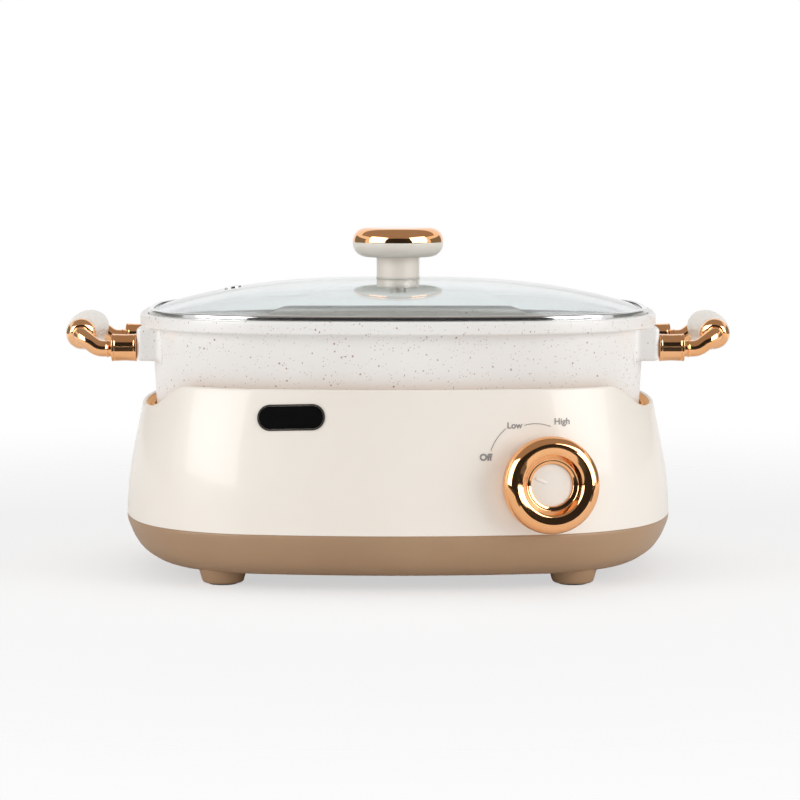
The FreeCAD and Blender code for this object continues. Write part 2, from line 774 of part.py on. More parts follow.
# ---------------------------------------------------------------- pieces seated on a surface
def surface_point(shape, start, direction):
    """First point where a line meets a solid, with the outward normal there."""
    line = Part.makeLine(start, start + direction * (2 * start.Length))
    hits = [vertex.Point for vertex in shape.common(line).Vertexes]
    point = min(hits, key=start.distanceToPoint)
    spot = Part.Vertex(point)
    face = min(shape.Faces, key=lambda item: item.distToShape(spot)[0])
    normal = face.normalAt(*face.Surface.parameter(point))
    if normal.dot(direction) > 0:
        normal = -normal
    return point, normal


def seat(point, normal, level):
    """Placement whose Z points along the normal and whose X is level with a direction."""
    across = level - normal * level.dot(normal)
    across.normalize()
    up = normal.cross(across)
    return FreeCAD.Placement(point, FreeCAD.Rotation(across, up, normal, "ZXY"))


def front_seat(housing, x, z):
    """Placement on the front of the housing, Z outwards and X to the right."""
    start = FreeCAD.Vector(value(x), -value("base_half_depth") * 1.5, value(z))
    return seat(*surface_point(housing, start, Y), X)


def indicator(front):
    """Black window lens in a thin frame, with its lamp board behind."""
    pieces = (("indicator_frame", "bezel_width", "-4", "0.3"),
              ("indicator_lens", "-fit_gap", "-4", "0.1"),
              ("indicator_board", "-2", "-5.2", "-4.1"))
    for name, grow, back, face in pieces:
        body = new_body(name)
        outline = new_sketch(body, "XY_Plane", back)
        pill(outline, grow)
        pad(body, outline, f"{face} - ({back})")
        if name == "indicator_frame":
            hole = new_sketch(body, "XY_Plane", back)
            pill(hole, 0)
            pocket(body, hole, 6, reverse=True)
        body.Placement = front


def regulator(front):
    """Thermostat behind the front wall: case, threaded bush and its nut."""
    body = new_body("regulator")
    outline = new_sketch(body, "XZ_Plane")
    back, face, bore = "-regulator_depth", "-shell_wall - 1.3", "shaft_radius + shaft_gap"
    profile(outline, ((0, back), ("regulator_radius", back, 2), ("regulator_radius", face),
                      ("bush_radius", face), ("bush_radius", "bush_length"),
                      (bore, "bush_length"), (bore, f"{back} + 3"), (0, f"{back} + 3")))
    revolve(body, outline)
    body.Placement = front
    nut = new_body("regulator_nut")
    hexagon = new_sketch(nut, "XY_Plane", 0.6)
    profile(hexagon, [(f"7.6 * cos({angle} * 1deg)", f"7.6 * sin({angle} * 1deg)")
                      for angle in range(0, 360, 60)])
    pad(nut, hexagon, 2.4)
    bore = new_sketch(nut, "XY_Plane", 0.6)
    circle(bore, 0, 0, "bush_radius + 0.05")
    pocket(nut, bore, 4, reverse=True)
    nut.Placement = front


def control_knob(front):
    """Turning knob: rose-gold ring, pointer disc, carrier and the thermostat's own shaft."""
    ring = new_body("knob_ring")
    outline = new_sketch(ring, "XZ_Plane")
    crest, foot = "knob_ring_depth", "knob_ring_clearance"
    shelf = f"{foot} + carrier_thickness"
    profile(outline, (("knob_ring_base_radius - 0.6", shelf), ("knob_ring_base_radius - 0.6", foot),
                      ("knob_ring_base_radius + 0.6", foot, 0.5),
                      ("knob_ring_radius", f"{foot} + 4.2", 6), ("knob_ring_radius", crest, 8.6),
                      ("knob_lip_radius + 0.8", crest, 2.6),
                      ("knob_lip_radius", f"{crest} - 5"),
                      ("knob_disc_radius + 0.1", f"{crest} - 6.6"),
                      ("knob_disc_radius + 0.1", shelf)))
    revolve(ring, outline)

    disc = new_body("knob_disc")
    outline = new_sketch(disc, "XZ_Plane")
    face, under = "knob_disc_height", "knob_disc_height - knob_disc_thickness"
    profile(outline, ((0, under), ("knob_disc_radius", under),
                      ("knob_disc_radius", face, "pointer_depth"), (0, face)))
    revolve(disc, outline)
    pointer = new_sketch(disc, "XY_Plane", face)
    rectangle(pointer, "-knob_disc_radius * 0.8", "-pointer_width / 2", "-knob_disc_radius / 8",
              "pointer_width / 2", "pointer_width * 0.45")
    pocket(disc, pointer, "pointer_depth")

    carrier = new_body("knob_carrier")
    outline = new_sketch(carrier, "XZ_Plane")
    hub, neck, rim = "shaft_radius + 0.05", "knob_disc_radius - 2.5", "knob_ring_base_radius - 0.7"
    web = f"{foot} + carrier_thickness - 0.1"
    profile(outline, ((hub, f"{foot} + 2.6"), (neck, f"{foot} + 2.6"), (neck, f"{foot} + 0.2"),
                      (rim, f"{foot} + 0.2"), (rim, web), ("knob_disc_radius", web),
                      ("knob_disc_radius", f"{under} - 0.1"), (hub, f"{under} - 0.1")))
    revolve(carrier, outline)

    shaft = new_body("knob_shaft")
    outline = new_sketch(shaft, "XY_Plane", "4 - regulator_depth")
    circle(outline, 0, 0, "shaft_radius")
    pad(shaft, outline, "regulator_depth + 3.9")
    flat = new_sketch(shaft, "XY_Plane", 7.9)
    rectangle(flat, "-shaft_radius - 1", "shaft_flat", "shaft_radius + 1", "shaft_radius + 1")
    pocket(shaft, flat, 8)
    turn = FreeCAD.Placement(FreeCAD.Vector(0, 0, 0),
                             FreeCAD.Rotation(Z, -value("pointer_angle")))
    for body in (ring, disc, carrier, shaft):
        body.Placement = front.multiply(turn)


def power_inlet(housing):
    """Appliance inlet at the back with its three pins and two screws."""
    start = FreeCAD.Vector(0, value("base_half_depth") * 1.5, value("inlet_height"))
    edge = value("inlet_tall / 2 + 2")
    wall = max(surface_point(housing, start + Z * step, -Y)[0].y for step in (-edge, edge))
    rotation = FreeCAD.Rotation(-X, Z, Y, "ZXY")
    placement = FreeCAD.Placement(FreeCAD.Vector(0, wall + 0.1, start.z), rotation)

    body = new_body("power_inlet")
    flange = new_sketch(body, "XY_Plane")
    rectangle(flange, "-inlet_width / 2 - inlet_ear", "-inlet_tall / 2 - 2",
              "inlet_width / 2 + inlet_ear", "inlet_tall / 2 + 2", 3)
    pad(body, flange, "inlet_flange")
    case = new_sketch(body, "XY_Plane")
    rectangle(case, "fit_gap - inlet_width / 2", "fit_gap - inlet_tall / 2",
              "inlet_width / 2 - fit_gap", "inlet_tall / 2 - fit_gap", 1.5)
    pad(body, case, "inlet_collar", back="inlet_depth")
    socket = new_sketch(body, "XY_Plane", "inlet_collar")
    rectangle(socket, "inlet_wall - inlet_width / 2", "inlet_wall - inlet_tall / 2",
              "inlet_width / 2 - inlet_wall", "inlet_tall / 2 - inlet_wall", 3)
    pocket(body, socket, "inlet_depth + inlet_collar - inlet_wall")
    holes = new_sketch(body, "XY_Plane", "inlet_flange")
    for side in (-1, 1):
        circle(holes, f"{side} * (inlet_width + inlet_ear) / 2", 0, "inlet_screw_radius")
    pocket(body, holes, 6)
    slots = new_sketch(body, "XY_Plane", "-inlet_depth")
    blades(slots)
    pocket(body, slots, "inlet_wall * 2", reverse=True)
    body.Placement = placement

    pins = new_body("inlet_pins")
    metal = new_sketch(pins, "XY_Plane", "-inlet_depth - 2.5")
    blades(metal)
    pad(pins, metal, "inlet_depth")
    pins.Placement = placement

    screws = new_body("inlet_screws")
    centres = [(f"{side} * (inlet_width + inlet_ear) / 2", 0) for side in (-1, 1)]
    discs(screws, "inlet_flange", 1.4, centres, "inlet_screw_radius * 1.75")
    discs(screws, -8, "inlet_flange + 8", centres, "inlet_screw_radius")
    screws.Placement = placement


def blades(sketch):
    """Draw the sections of the three inlet pins."""
    for x, y in ((-7, 2), (0, -3), (7, 2)):
        rectangle(sketch, x - 1, y - 2, x + 1, y + 2)


# ---------------------------------------------------------------- cooking pot
SIDES = (("left", -1), ("right", 1))
CORNERS = [(f"{depth}_{side}", sign, end) for depth, end in (("front", -1), ("rear", 1))
           for side, sign in SIDES]


def pot_shell():
    """Cast pot: drafted wall, rolled floor edge, flange with a lid seat, and four lugs."""
    body = new_body("pot_shell")
    foot, neck = inset(FLANGE, "pot_foot_inset"), inset(FLANGE, "pot_neck_inset")
    loft(body, (("pot_floor", foot), ("flange_underside", neck)))
    document.recompute()
    round_edges(body, edges_at(body.Tip.Shape, value("pot_floor")), "pot_floor_round")
    flange = new_sketch(body, "XY_Plane", "flange_underside")
    oval(flange, *FLANGE)
    pad(body, flange, "flange_top - flange_underside")
    lugs = new_sketch(body, "XY_Plane", "lug_underside")
    for _, side, end in CORNERS:
        root = "pot_half_width - pot_neck_inset - pot_wall * 0.8"
        rectangle(lugs, f"{side} * ({root})", f"{end} * (arm_y - lug_width / 2)",
                  f"{side} * lug_end", f"{end} * (arm_y + lug_width / 2)")
    pad(body, lugs, "flange_underside - lug_underside + 0.5")
    cavity = (("pot_floor + pot_floor_thickness", inset(foot, "pot_wall")),
              ("flange_top", inset(neck, "pot_wall")))
    hollow = new_body("pot_hollow")
    subparts.remove(hollow)
    loft(hollow, cavity)
    document.recompute()
    round_edges(hollow, edges_at(hollow.Tip.Shape, value(cavity[0][0])),
                "pot_floor_round - pot_wall")
    document.recompute()
    carve = body.newObject("PartDesign::Boolean", "Cavity")
    carve.Type = "Cut"
    carve.Group = [hollow]
    body.Tip = carve
    document.recompute()
    rest = new_sketch(body, "XY_Plane", "flange_top")
    oval(rest, *inset(FLANGE, "lid_seat_inset"))
    pocket(body, rest, "lid_seat_depth")
    studs = new_sketch(body, "YZ_Plane")
    for end in (-1, 1):
        circle(studs, f"{end} * arm_y", "arm_height", "stud_radius + 0.05")
    for side in (False, True):
        pocket(body, studs, "lug_end * 1.1", reverse=side)
    return body


def ferrules():
    """Four waisted rose-gold sleeves between the lugs and the arms."""
    for name, side, end in CORNERS:
        body = new_body(f"{name}_ferrule")
        sketches = []
        for place_x, grow in ((0, 0), ("0.5", "-ferrule_waist"), ("1", 0)):
            sketch = new_sketch(body, "YZ_Plane",
                                f"lug_end + ({place_x}) * (ferrule_end - lug_end)")
            rectangle(sketch, f"-ferrule_width / 2 - ({grow})",
                      f"arm_height - ferrule_height / 2 - ({grow})",
                      f"ferrule_width / 2 + ({grow})",
                      f"arm_height + ferrule_height / 2 + ({grow})", "ferrule_width * 0.28")
            sketches.append(sketch)
        feature(body, "AdditiveLoft", sketches[0], Sections=sketches[1:], Ruled=False)
        bore = new_sketch(body, "YZ_Plane", "ferrule_end")
        circle(bore, 0, "arm_height", "arm_radius + 0.05")
        pocket(body, bore, "ferrule_end - lug_end - 8")
        hole = new_sketch(body, "YZ_Plane", "ferrule_end")
        circle(hole, 0, "arm_height", "stud_radius + 0.05")
        pocket(body, hole, "(ferrule_end - lug_end) * 1.5")
        turn = FreeCAD.Rotation(Z, 0 if side > 0 else 180)
        place(body, 0, f"{end} * arm_y", 0, turn)


def arms():
    """Four arms: each leaves its ferrule, climbs, turns along the grip and flares to a collar."""
    rise, bend = value("arm_rise_bend"), value("arm_bend_radius")
    for name, side, end in CORNERS:
        root = value("lug_end + 8")
        corner = value("arm_rise_start")
        far, low, high = value("grip_x"), value("arm_height"), value("grip_height")
        depth, stop = value("arm_y"), value("grip_half_length + collar_bore_depth + 0.5")
        points = [FreeCAD.Vector(side * x, end * y, z) for x, y, z in (
            (root, depth, low), (corner, depth, low), (far, depth, high),
            (far, stop, high))]
        bar = tube(points, [rise, bend], value("arm_radius"))
        solid_node(f"{name}_arm", bar.fuse(collar(side, end)).removeSplitter())


def collar(side, end):
    """Flared collar where an arm meets its grip, bored for the tie rod."""
    outer, inner = value("collar_radius"), value("arm_radius")
    length, bore = value("collar_length"), value("rod_radius + 0.05")
    lip = length * 0.3
    flare = Part.Arc(FreeCAD.Vector(outer, lip, 0),
                     FreeCAD.Vector((outer + inner) / 2 - 0.35, length * 0.55, 0),
                     FreeCAD.Vector(inner, length, 0)).toShape()
    deep = value("collar_bore_depth")
    corners = [FreeCAD.Vector(inner, length, 0), FreeCAD.Vector(0, length, 0),
               FreeCAD.Vector(0, deep, 0), FreeCAD.Vector(bore, deep, 0),
               FreeCAD.Vector(bore, 0, 0), FreeCAD.Vector(outer, 0, 0),
               FreeCAD.Vector(outer, lip, 0)]
    edges = [Part.makeLine(a, b) for a, b in zip(corners, corners[1:])]
    turned = Part.Face(Part.Wire(Part.__sortEdges__([flare] + edges)))
    solid = turned.revolve(FreeCAD.Vector(0, 0, 0), Y, 360)
    if end < 0:
        solid.rotate(FreeCAD.Vector(0, 0, 0), Z, 180)
    solid.translate(FreeCAD.Vector(side * value("grip_x"), end * value("grip_half_length"),
                                   value("grip_height")))
    return solid


def grips():
    """Barrel grips on steel tie rods, and the studs that hold the arms to the lugs."""
    for name, side in SIDES:
        body = new_body(f"{name}_grip")
        outline = new_sketch(body, "XY_Plane")
        swell = "grip_end_radius + 2 * (grip_radius - grip_end_radius)"
        sweep = "0.96 * grip_half_length ^ 2 / (2 * (grip_radius - grip_end_radius))"
        profile(outline, (("rod_radius + 0.1", "-grip_half_length"),
                          ("grip_end_radius", "-grip_half_length"), (swell, 0, sweep),
                          ("grip_end_radius", "grip_half_length"),
                          ("rod_radius + 0.1", "grip_half_length")))
        revolve(body, outline)
        place(body, f"{side} * grip_x", 0, "grip_height")
        rod = new_body(f"{name}_tie_rod")
        section = new_sketch(rod, "XZ_Plane")
        circle(section, f"{side} * grip_x", "grip_height", "rod_radius")
        pad(rod, section, "grip_half_length + 2.9", back="grip_half_length + 2.9")
    studs = new_body("handle_studs")
    section = new_sketch(studs, "YZ_Plane")
    for end in (-1, 1):
        circle(section, f"{end} * arm_y", "arm_height", "stud_radius")
    pad(studs, section, "lug_end + 7.8", back="lug_end + 7.8")
    clear = new_sketch(studs, "YZ_Plane")
    rectangle(clear, "-arm_y * 1.5", "arm_height - 9", "arm_y * 1.5", "arm_height + 9")
    gap = pocket(studs, clear, "lug_end - 6.5")
    gap.SideType = "Two sides"
    gap.setExpression("Length2", term("lug_end - 6.5"))


# ---------------------------------------------------------------- lid
def lid_glass():
    """Tempered glass: flat edge, dome of stacked outlines, holes for the vent and the knob."""
    body = new_body("lid_glass")
    edge = inset(FLANGE, "lid_seat_inset + lid_rim_gap + lid_rim_steel + glass_edge_gap")
    base = "flange_top - lid_seat_depth + lid_lift_gap + lid_rim_steel + glass_edge_gap"
    plate = new_sketch(body, "XY_Plane", base)
    oval(plate, *edge)
    pad(body, plate, "glass_thickness")
    foot = inset(edge, "lid_rim_lip + 0.6")
    shares = (1, 0.93, 0.82, 0.66, 0.42, 0.15)
    rise = f"(dome_height - glass_thickness - ({base}))"
    height = f"({base}) + glass_thickness"
    sections = [(f"{height} + {rise} * (1 - {share} ^ dome_power)", scaled(foot, share))
                for share in shares]
    loft(body, sections)
    under = [(f"{level} - glass_thickness", scaled(inset(foot, "glass_thickness * 0.3"), share))
             for (level, _), share in zip(sections, shares)]
    loft(body, under, cut=True)
    holes = new_sketch(body, "XY_Plane", "dome_height + 1")
    circle(holes, 0, 0, "lid_screw_radius + 0.4")
    circle(holes, "-vent_x", "vent_y", "vent_hole_radius")
    pocket(body, holes, "dome_height / 4")
    return body


def lid_rim():
    """Steel band folded round the edge of the glass."""
    body = new_body("lid_rim")
    outer = inset(FLANGE, "lid_seat_inset + lid_rim_gap")
    base = "flange_top - lid_seat_depth + lid_lift_gap"
    steel = "lid_rim_steel"
    rings = ((base, "lid_rim_lip + 1.4", steel),
             (base, steel, f"lid_rim_top - ({base})"),
             (f"lid_rim_top - {steel}", "lid_rim_lip", steel))
    for height, width, length in rings:
        sketch = new_sketch(body, "XY_Plane", height)
        oval(sketch, *outer)
        oval(sketch, *inset(outer, width))
        pad(body, sketch, length)
    return body


def steam_vent(glass):
    """Eyelet pressed through the dome, square to the glass."""
    start = FreeCAD.Vector(-value("vent_x + vent_hole_radius + 1"), value("vent_y"),
                           value("lid_knob_top"))
    point, normal = surface_point(glass, start, -Z)
    across = X - normal * X.dot(normal)
    across.normalize()
    point = point + across * value("vent_hole_radius + 1")
    body = new_body("steam_vent")
    outline = new_sketch(body, "XZ_Plane")
    profile(outline, (("vent_bore_radius", "-glass_thickness - 1.4"),
                      ("vent_radius - 0.4", "-glass_thickness - 1.4"),
                      ("vent_radius - 0.4", "-glass_thickness - 0.5"),
                      ("vent_shank_radius", "-glass_thickness - 0.5"), ("vent_shank_radius", 0.2),
                      ("vent_radius", 0.2), ("vent_radius", 1.6, 1), ("vent_bore_radius", 1.6, 0.6)))
    revolve(body, outline)
    body.Placement = seat(point, normal, X)


def lid_knob():
    """Lid knob: rose-gold cap over a cream body, gasket, under-washer and screw."""
    cap = new_body("lid_knob_cap")
    outline = new_sketch(cap, "XZ_Plane")
    profile(outline, ((0, "lid_knob_top"), ("lid_knob_radius", "lid_knob_top", "lid_knob_cap_round"),
                      ("lid_knob_radius", "lid_knob_split"),
                      ("lid_knob_radius - lid_knob_shell", "lid_knob_split"),
                      ("lid_knob_radius - lid_knob_shell", "lid_knob_top - lid_knob_shell",
                       "lid_knob_cap_round - lid_knob_shell"),
                      (0, "lid_knob_top - lid_knob_shell")))
    revolve(cap, outline)

    body = new_body("lid_knob_body")
    outline = new_sketch(body, "XZ_Plane")
    inside = "lid_knob_radius - lid_knob_shell - 0.1"
    profile(outline, ((0, "dome_height + gasket_thickness"),
                      ("lid_knob_stem_radius", "dome_height + gasket_thickness", 0.4),
                      ("lid_knob_stem_radius", "lid_knob_underside", 1),
                      ("lid_knob_radius", "lid_knob_underside", "lid_knob_bowl_round"),
                      ("lid_knob_radius", "lid_knob_split"), (inside, "lid_knob_split"),
                      (inside, "lid_knob_split + 1.5"),
                      ("lid_knob_radius - 4.5", "lid_knob_split + 1.5"),
                      ("lid_knob_radius - 4.5", "lid_knob_underside + 3.5", 3),
                      (0, "lid_knob_underside + 3.5")))
    revolve(body, outline)
    bore = new_sketch(body, "XY_Plane", "dome_height")
    circle(bore, 0, 0, "lid_screw_radius + 0.05")
    pocket(body, bore, "lid_knob_underside - dome_height", reverse=True)

    gasket = new_body("lid_knob_gasket")
    washer(gasket, "dome_height", "gasket_thickness", "lid_knob_stem_radius + 0.2")
    under = new_body("lid_knob_washer")
    below = "dome_height - glass_thickness - 1.8"
    washer(under, below, 1.6, "lid_knob_stem_radius - 2")
    screw = new_body("lid_knob_screw")
    discs(screw, f"{below} - 3", 3, ((0, 0),), "lid_screw_head")
    discs(screw, below, f"lid_knob_underside - 1 - ({below})", ((0, 0),), "lid_screw_radius")


def washer(body, height, thickness, radius):
    """Flat ring around the lid screw."""
    sketch = new_sketch(body, "XY_Plane", height)
    circle(sketch, 0, 0, radius)
    circle(sketch, 0, 0, "lid_screw_radius + 0.3")
    pad(body, sketch, thickness)


# ---------------------------------------------------------------- build, check and write
def check_document():
    """Stop if any object failed or any sub-part has a bad shape."""
    for item in document.Objects:
        if "Invalid" in item.State or "Error" in item.State:
            raise RuntimeError(f"{item.Label} failed: {item.State}")
    for item in subparts:
        if item.Shape.isNull() or not item.Shape.isValid() or not item.Shape.Solids:
            raise RuntimeError(f"{item.Label} has no valid shape")


def main():
    """Build every sub-part, check the document and write one STEP file for each node."""
    lower_shell()
    skin, window_seat, knob_seat = upper_housing()
    inner_well()
    feet()
    case_fasteners()
    heating()
    probe()
    document.recompute()
    indicator(window_seat)
    regulator(knob_seat)
    control_knob(knob_seat)
    power_inlet(skin.Shape)
    pot_shell()
    ferrules()
    arms()
    grips()
    glass = lid_glass()
    lid_rim()
    document.recompute()
    steam_vent(glass.Shape)
    lid_knob()
    document.recompute()
    check_document()
    os.makedirs("parts", exist_ok=True)
    for item in subparts:
        item.Shape.exportStep(f"parts/{item.Label}.step")


main()
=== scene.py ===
"""Looks of an electric hot pot: heated base with a dial, lift-out cooking pot, glass lid.

Sizes are in millimetres in the classes below and become metres when a mesh is made.
X runs left to right, the front faces -Y, and Z is up from the table.
"""
import json
import logging
import math
from dataclasses import dataclass
from enum import Enum

import bmesh
import bpy
import numpy as np
from mathutils import Matrix, Vector


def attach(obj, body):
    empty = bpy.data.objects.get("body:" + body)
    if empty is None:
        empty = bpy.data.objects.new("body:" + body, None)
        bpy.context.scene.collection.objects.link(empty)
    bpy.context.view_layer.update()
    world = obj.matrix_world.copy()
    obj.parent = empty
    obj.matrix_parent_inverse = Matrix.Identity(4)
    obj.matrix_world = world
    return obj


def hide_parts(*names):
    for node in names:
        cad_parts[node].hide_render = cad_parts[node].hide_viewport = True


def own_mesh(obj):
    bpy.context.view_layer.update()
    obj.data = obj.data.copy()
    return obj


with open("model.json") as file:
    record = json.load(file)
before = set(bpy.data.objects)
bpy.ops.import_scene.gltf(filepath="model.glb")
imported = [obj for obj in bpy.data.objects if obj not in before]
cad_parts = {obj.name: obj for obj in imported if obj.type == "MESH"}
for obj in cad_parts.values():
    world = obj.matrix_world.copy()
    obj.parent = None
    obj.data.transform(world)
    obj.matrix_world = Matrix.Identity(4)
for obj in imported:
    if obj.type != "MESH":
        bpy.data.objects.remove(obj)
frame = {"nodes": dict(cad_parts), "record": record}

log = logging.getLogger("hot_pot")
MM = 0.001
TURN = 2.0 * math.pi
Triple = tuple[float, float, float]
Material = bpy.types.Material
Object = bpy.types.Object
Socket = bpy.types.NodeSocket
Tree = bpy.types.NodeTree


# ------------------------------------------------------------------ numbers and surfaces
def linear(red: int, green: int, blue: int) -> Triple:
    """Turn a display colour of 0 to 255 into scene-linear light.

    Args:
        red: Red share.
        green: Green share.
        blue: Blue share.

    Returns:
        The colour by the usual display curve: c / 12.92 below 0.04, ((c + 0.055) / 1.055) ** 2.4
        above it.
    """
    shares = np.array((red, green, blue)) / 255.0
    curve = np.where(shares <= 0.04045, shares / 12.92, ((shares + 0.055) / 1.055) ** 2.4)
    return tuple(float(share) for share in curve)


def ring_angles(count: int) -> np.ndarray:
    """Evenly spaced angles once round, without the repeat of the first."""
    return np.linspace(0.0, TURN, count, endpoint=False)


@dataclass(frozen=True)
class Oval:
    """Rounded outline of eight tangent arcs, by its half sizes and the radii of its arcs."""

    half_width: float
    half_depth: float
    corner: float
    side: float
    front: float

    def row(self) -> np.ndarray:
        """The five sizes as an array."""
        return np.array((self.half_width, self.half_depth, self.corner, self.side, self.front))

    def inset(self, amount: float) -> "Oval":
        """The outline offset inwards by an amount, which is every size less the amount."""
        return Oval(*(self.row() - amount))


def oval_points(sizes: np.ndarray, theta: np.ndarray) -> tuple[np.ndarray, np.ndarray]:
    """Points of a rounded outline, found by the direction of the outward normal.

    A point is the centre of its arc plus the arc's radius times (cos, sin) of the angle. The side
    arc is centred on X, the front arc on Y, and the corner arc's centre lies at the distances
    side - corner and front - corner from theirs.

    Args:
        sizes: Five sizes of an Oval along the last axis.
        theta: Angles of the normals, of a shape that fits the sizes' other axes.

    Returns:
        The X and the Y of each point, in millimetres.
    """
    half_width, half_depth, corner, side, front = np.moveaxis(sizes, -1, 0)
    side_x, front_y = half_width - side, half_depth - front
    span = np.hypot(side_x, front_y)
    along = ((side - corner) ** 2 - (front - corner) ** 2 + span**2) / (2.0 * span)
    across = np.sqrt(np.maximum((side - corner) ** 2 - along**2, 0.0))
    step_x, step_y = -side_x / span, front_y / span
    first = (side_x + along * step_x - across * step_y, along * step_y + across * step_x)
    second = (side_x + along * step_x + across * step_y, along * step_y - across * step_x)
    upper = first[0] + first[1] > second[0] + second[1]
    centre_x = np.where(upper, first[0], second[0])
    centre_y = np.where(upper, first[1], second[1])
    fold = np.arctan2(np.abs(np.sin(theta)), np.abs(np.cos(theta)))
    on_side = fold < np.arctan2(centre_y, centre_x - side_x)
    on_front = fold > np.arctan2(centre_y - front_y, centre_x)
    x = np.where(on_side, side_x + side * np.cos(fold),
                 np.where(on_front, front * np.cos(fold), centre_x + corner * np.cos(fold)))
    y = np.where(on_side, side * np.sin(fold),
                 np.where(on_front, front_y + front * np.sin(fold),
                          centre_y + corner * np.sin(fold)))
    return x * np.sign(np.cos(theta)), y * np.sign(np.sin(theta))


@dataclass(frozen=True)
class Stack:
    """Outline that changes smoothly with height, through a few given levels."""

    heights: tuple[float, ...]
    ovals: tuple[Oval, ...]

    def sizes(self, height: np.ndarray) -> np.ndarray:
        """Sizes at any height, by the one polynomial that passes through all the levels.

        Args:
            height: Heights in millimetres.

        Returns:
            The five sizes along a new last axis.
        """
        rows = np.stack([oval.row() for oval in self.ovals])
        fits = [np.polyfit(self.heights, rows[:, index], len(self.heights) - 1)
                for index in range(5)]
        return np.stack([np.polyval(fit, height) for fit in fits], axis=-1)

    def wall(self, theta: np.ndarray, height: np.ndarray, depth: np.ndarray) -> np.ndarray:
        """Points below the stacked surface: outline point less depth times the outward normal.

        Args:
            theta: Angles of the normals.
            height: Heights, of the same shape.
            depth: Distances inwards from the surface, of the same shape.

        Returns:
            Points along a new last axis, in millimetres.
        """
        x, y = oval_points(self.sizes(height), theta)
        return np.stack([x - depth * np.cos(theta), y - depth * np.sin(theta), height], axis=-1)

    def front_point(self, x: np.ndarray, height: np.ndarray) -> np.ndarray:
        """Points on the front for given X and heights, by halving the range of the normal's angle.

        Args:
            x: Distances to the right, in millimetres.
            height: Heights, of the same shape.

        Returns:
            Points along a new last axis, in millimetres.
        """
        low, high = np.full_like(x, -math.pi + 1e-6), np.full_like(x, -1e-6)
        for _ in range(40):
            middle = (low + high) / 2.0
            reached, _y = oval_points(self.sizes(height), middle)
            low = np.where(reached < x, middle, low)
            high = np.where(reached < x, high, middle)
        found_x, found_y = oval_points(self.sizes(height), (low + high) / 2.0)
        return np.stack([found_x, found_y, height], axis=-1)


def rounded_profile(corners: list[tuple[float, ...]], steps: int = 8) -> np.ndarray:
    """Open profile of straight runs whose corners may be rounded.

    A rounded corner is an arc between its two tangent points, which lie radius / tan(half the
    corner's angle) from the corner.

    Args:
        corners: Each (across, height) or (across, height, radius), in millimetres.
        steps: Number of runs in each arc.

    Returns:
        Points of the profile, one row each.
    """
    points = [np.array(corner[:2], float) for corner in corners]
    parts: list[np.ndarray] = []
    for index, corner in enumerate(corners):
        if len(corner) < 3 or index in (0, len(corners) - 1):
            parts.append(points[index][None])
            continue
        back = points[index - 1] - points[index]
        ahead = points[index + 1] - points[index]
        back, ahead = back / np.linalg.norm(back), ahead / np.linalg.norm(ahead)
        half = math.acos(float(np.clip(back @ ahead, -1.0, 1.0))) / 2.0
        middle = (back + ahead) / np.linalg.norm(back + ahead)
        centre = points[index] + middle * corner[2] / math.sin(half)
        start = points[index] + back * corner[2] / math.tan(half) - centre
        end = points[index] + ahead * corner[2] / math.tan(half) - centre
        first = math.atan2(start[1], start[0])
        sweep = (math.atan2(end[1], end[0]) - first + math.pi) % TURN - math.pi
        angles = first + sweep * np.linspace(0.0, 1.0, steps + 1)
        parts.append(centre + corner[2] * np.stack([np.cos(angles), np.sin(angles)], axis=-1))
    return np.concatenate(parts)


def lathe(profile: np.ndarray, count: int = 128) -> np.ndarray:
    """Grid of a profile turned about Z: (radius cos, radius sin, height) for each angle.

    Args:
        profile: Rows of (radius, height), in millimetres.
        count: Number of angles.

    Returns:
        Points of shape (rows, count, 3).
    """
    theta = ring_angles(count)
    radius, height = profile[:, :1], profile[:, 1:2]
    return np.stack([radius * np.cos(theta), radius * np.sin(theta),
                     height + 0.0 * theta], axis=-1)


def round_tube(path: np.ndarray, radius: np.ndarray, count: int) -> np.ndarray:
    """Grid of a round tube along a path, closed at both ends.

    Each ring is the path's point plus radius cos along the side direction and radius sin along the
    other one. The side direction starts upwards; each is the last one less its share along the
    path, so that it turns as little as possible.

    Args:
        path: Points of the path, one row each, in millimetres.
        radius: Radius at each point.
        count: Points in each ring.

    Returns:
        Points of shape (rings + 2, count, 3).
    """
    tangent = np.gradient(path, axis=0)
    tangent /= np.linalg.norm(tangent, axis=1, keepdims=True)
    side = np.empty_like(path)
    last = np.array((0.0, 0.0, 1.0))
    for index, direction in enumerate(tangent):
        last = last - direction * (last @ direction)
        last = last / np.linalg.norm(last)
        side[index] = last
    other = np.cross(tangent, side)
    theta = ring_angles(count)
    section = radius[:, None, None] * np.stack([np.cos(theta), np.sin(theta)], axis=-1)
    tube = path[:, None] + section[..., :1] * side[:, None] + section[..., 1:] * other[:, None]
    first, final = (np.broadcast_to(point, tube[:1].shape) for point in (path[0], path[-1]))
    return np.concatenate([first, tube, final])


